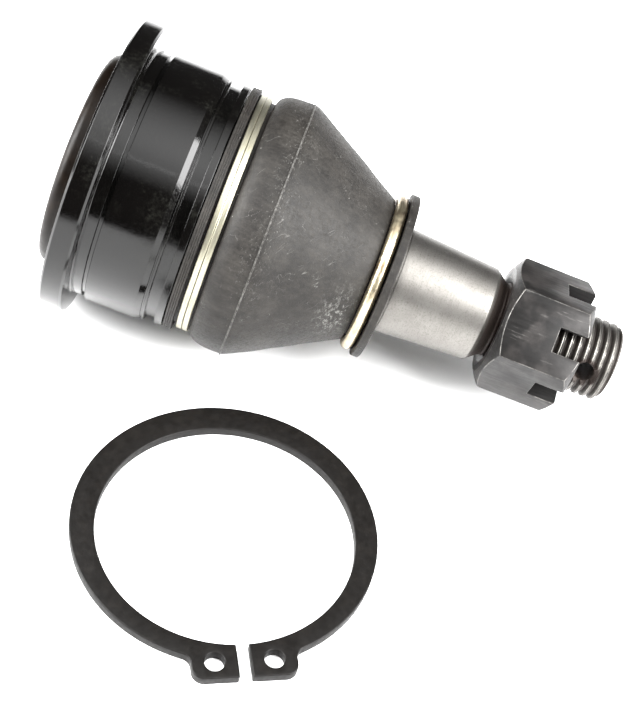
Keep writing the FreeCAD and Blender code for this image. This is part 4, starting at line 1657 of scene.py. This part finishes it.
@dataclass(frozen=True)
class Lamp:
    """A rectangular lamp that faces a target, with its power in watts.

    Its light fades out over a share of each side, up to the lamp's edge.
    """

    name: str
    place: Point
    target: Point
    size: tuple[float, float]
    power: float
    fade: float = 0.0

    def fade_out(self, tree: bpy.types.NodeTree) -> None:
        """Dims the light towards the lamp's edges by the product of a soft ramp along each side.

        Args:
            tree: the lamp's node tree.
        """
        place = add_node(tree, "NewGeometry", {}).outputs["Parametric"]
        parts = add_node(tree, "SeparateXYZ", {"Vector": place}).outputs
        shares = []
        for side in ("X", "Y"):
            ramp = add_node(tree, "Math", {0: parts[side], 1: 0.5}, operation="PINGPONG").outputs[0]
            inputs = {"Value": ramp, "From Max": self.fade}
            smooth = add_node(tree, "MapRange", inputs, interpolation_type="SMOOTHSTEP")
            shares.append(smooth.outputs["Result"])
        product = add_node(tree, "Math", {0: shares[0], 1: shares[1]}, operation="MULTIPLY").outputs[0]
        put(tree, tree.nodes["Emission"].inputs["Strength"], product)

    def hang(self) -> None:
        """Makes the lamp and turns it to its target."""
        data = bpy.data.lights.new(self.name, "AREA")
        data.shape = "RECTANGLE"
        data.size, data.size_y = self.size[0] * MM, self.size[1] * MM
        data.energy = self.power
        if self.fade:
            data.use_nodes = True
            self.fade_out(data.node_tree)
        lamp = show(self.name, data)
        lamp.location = Vector(self.place) * MM
        lamp.rotation_mode = "QUATERNION"
        lamp.rotation_quaternion = (Vector(self.target) - Vector(self.place)).to_track_quat("-Z", "Y")


@dataclass
class Studio:
    """White bench, a dim room with four lamps, and the camera.

    The lamps are a soft box overhead, a thin strip in front of it, and a large soft box on each side.
    """

    eye: Point = (42.13, -194.92, 175.19)
    look_at: Point = (33.45, -4.85, -24.74)
    roll: float = 14.07
    focal_px: float = 1521.0
    frame_height: float = 716.0
    sensor: float = 36.0
    bench_half: float = 5000.0
    room_light: float = 0.08
    lamps: tuple[Lamp, ...] = (
        Lamp("overhead", (130.0, -140.0, 600.0), (130.0, -140.0, 0.0), (1000.0, 1220.0), 21.0, 0.5),
        Lamp("strip", (20.0, -300.0, 470.0), (30.0, 0.0, 0.0), (190.0, 9.0), 0.042, 0.3),
        Lamp("left", (-620.0, -170.0, 400.0), (30.0, -30.0, 0.0), (520.0, 700.0), 37.0),
        Lamp("right", (680.0, -170.0, 400.0), (30.0, -30.0, 0.0), (520.0, 700.0), 33.0),
    )

    def floor(self) -> None:
        """A plain pale bench under the object."""
        level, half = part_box("snap_ring")[0].z, self.bench_half * MM
        corners = [(-half, -half, level), (half, -half, level), (half, half, level), (-half, half, level)]
        bench = new_piece("bench", np.array(corners), np.array([[0, 1, 2, 3]]))
        paint = Paint("bench_white")
        white = paint.mix(paint.noise(0.01), rgb(0.9, 0.9, 0.9), rgb(0.88, 0.88, 0.88))
        paint.set(Base_Color=white, Roughness=0.9, Specular_IOR_Level=0.1)
        bench.data.materials.append(paint.material)

    def light(self) -> None:
        """Lights the room dimly and hangs the lamps."""
        world = bpy.data.worlds.new("studio")
        world.use_nodes = True
        background = world.node_tree.nodes["Background"].inputs
        background["Color"].default_value = rgb(1.0, 1.0, 1.0)
        background["Strength"].default_value = self.room_light
        bpy.context.scene.world = world
        bpy.context.scene.view_settings.view_transform = "Standard"
        for lamp in self.lamps:
            lamp.hang()

    def camera(self) -> None:
        """The camera, from an eye, a target and a roll; its lens comes from the focal length in pixels."""
        data = bpy.data.cameras.new("view")
        data.sensor_width = self.sensor
        data.lens = self.focal_px * self.sensor / self.frame_height
        data.clip_start = 0.01
        camera = show("view", data)
        camera.location = Vector(self.eye) * MM
        facing = (Vector(self.look_at) * MM - Vector(self.eye) * MM).to_track_quat("-Z", "Y").to_matrix()
        rolled = facing @ Matrix.Rotation(math.radians(self.roll), 3, "Z")
        camera.rotation_mode = "QUATERNION"
        camera.rotation_quaternion = rolled.to_quaternion()
        bpy.context.scene.camera = camera

    def build(self) -> None:
        """Sets up the bench, the light and the camera."""
        self.floor()
        self.light()
        self.camera()


def main() -> None:
    """Builds every sub-assembly in order."""
    logging.basicConfig(level=logging.INFO, format="%(message)s")
    for part in (Studio(), HousingAssembly(), DustBoot(), BallStud(), CastleNut(), SnapRing()):
        part.build()
        LOG.info("%s is done", type(part).__name__)


if __name__ == "__main__":
    main()
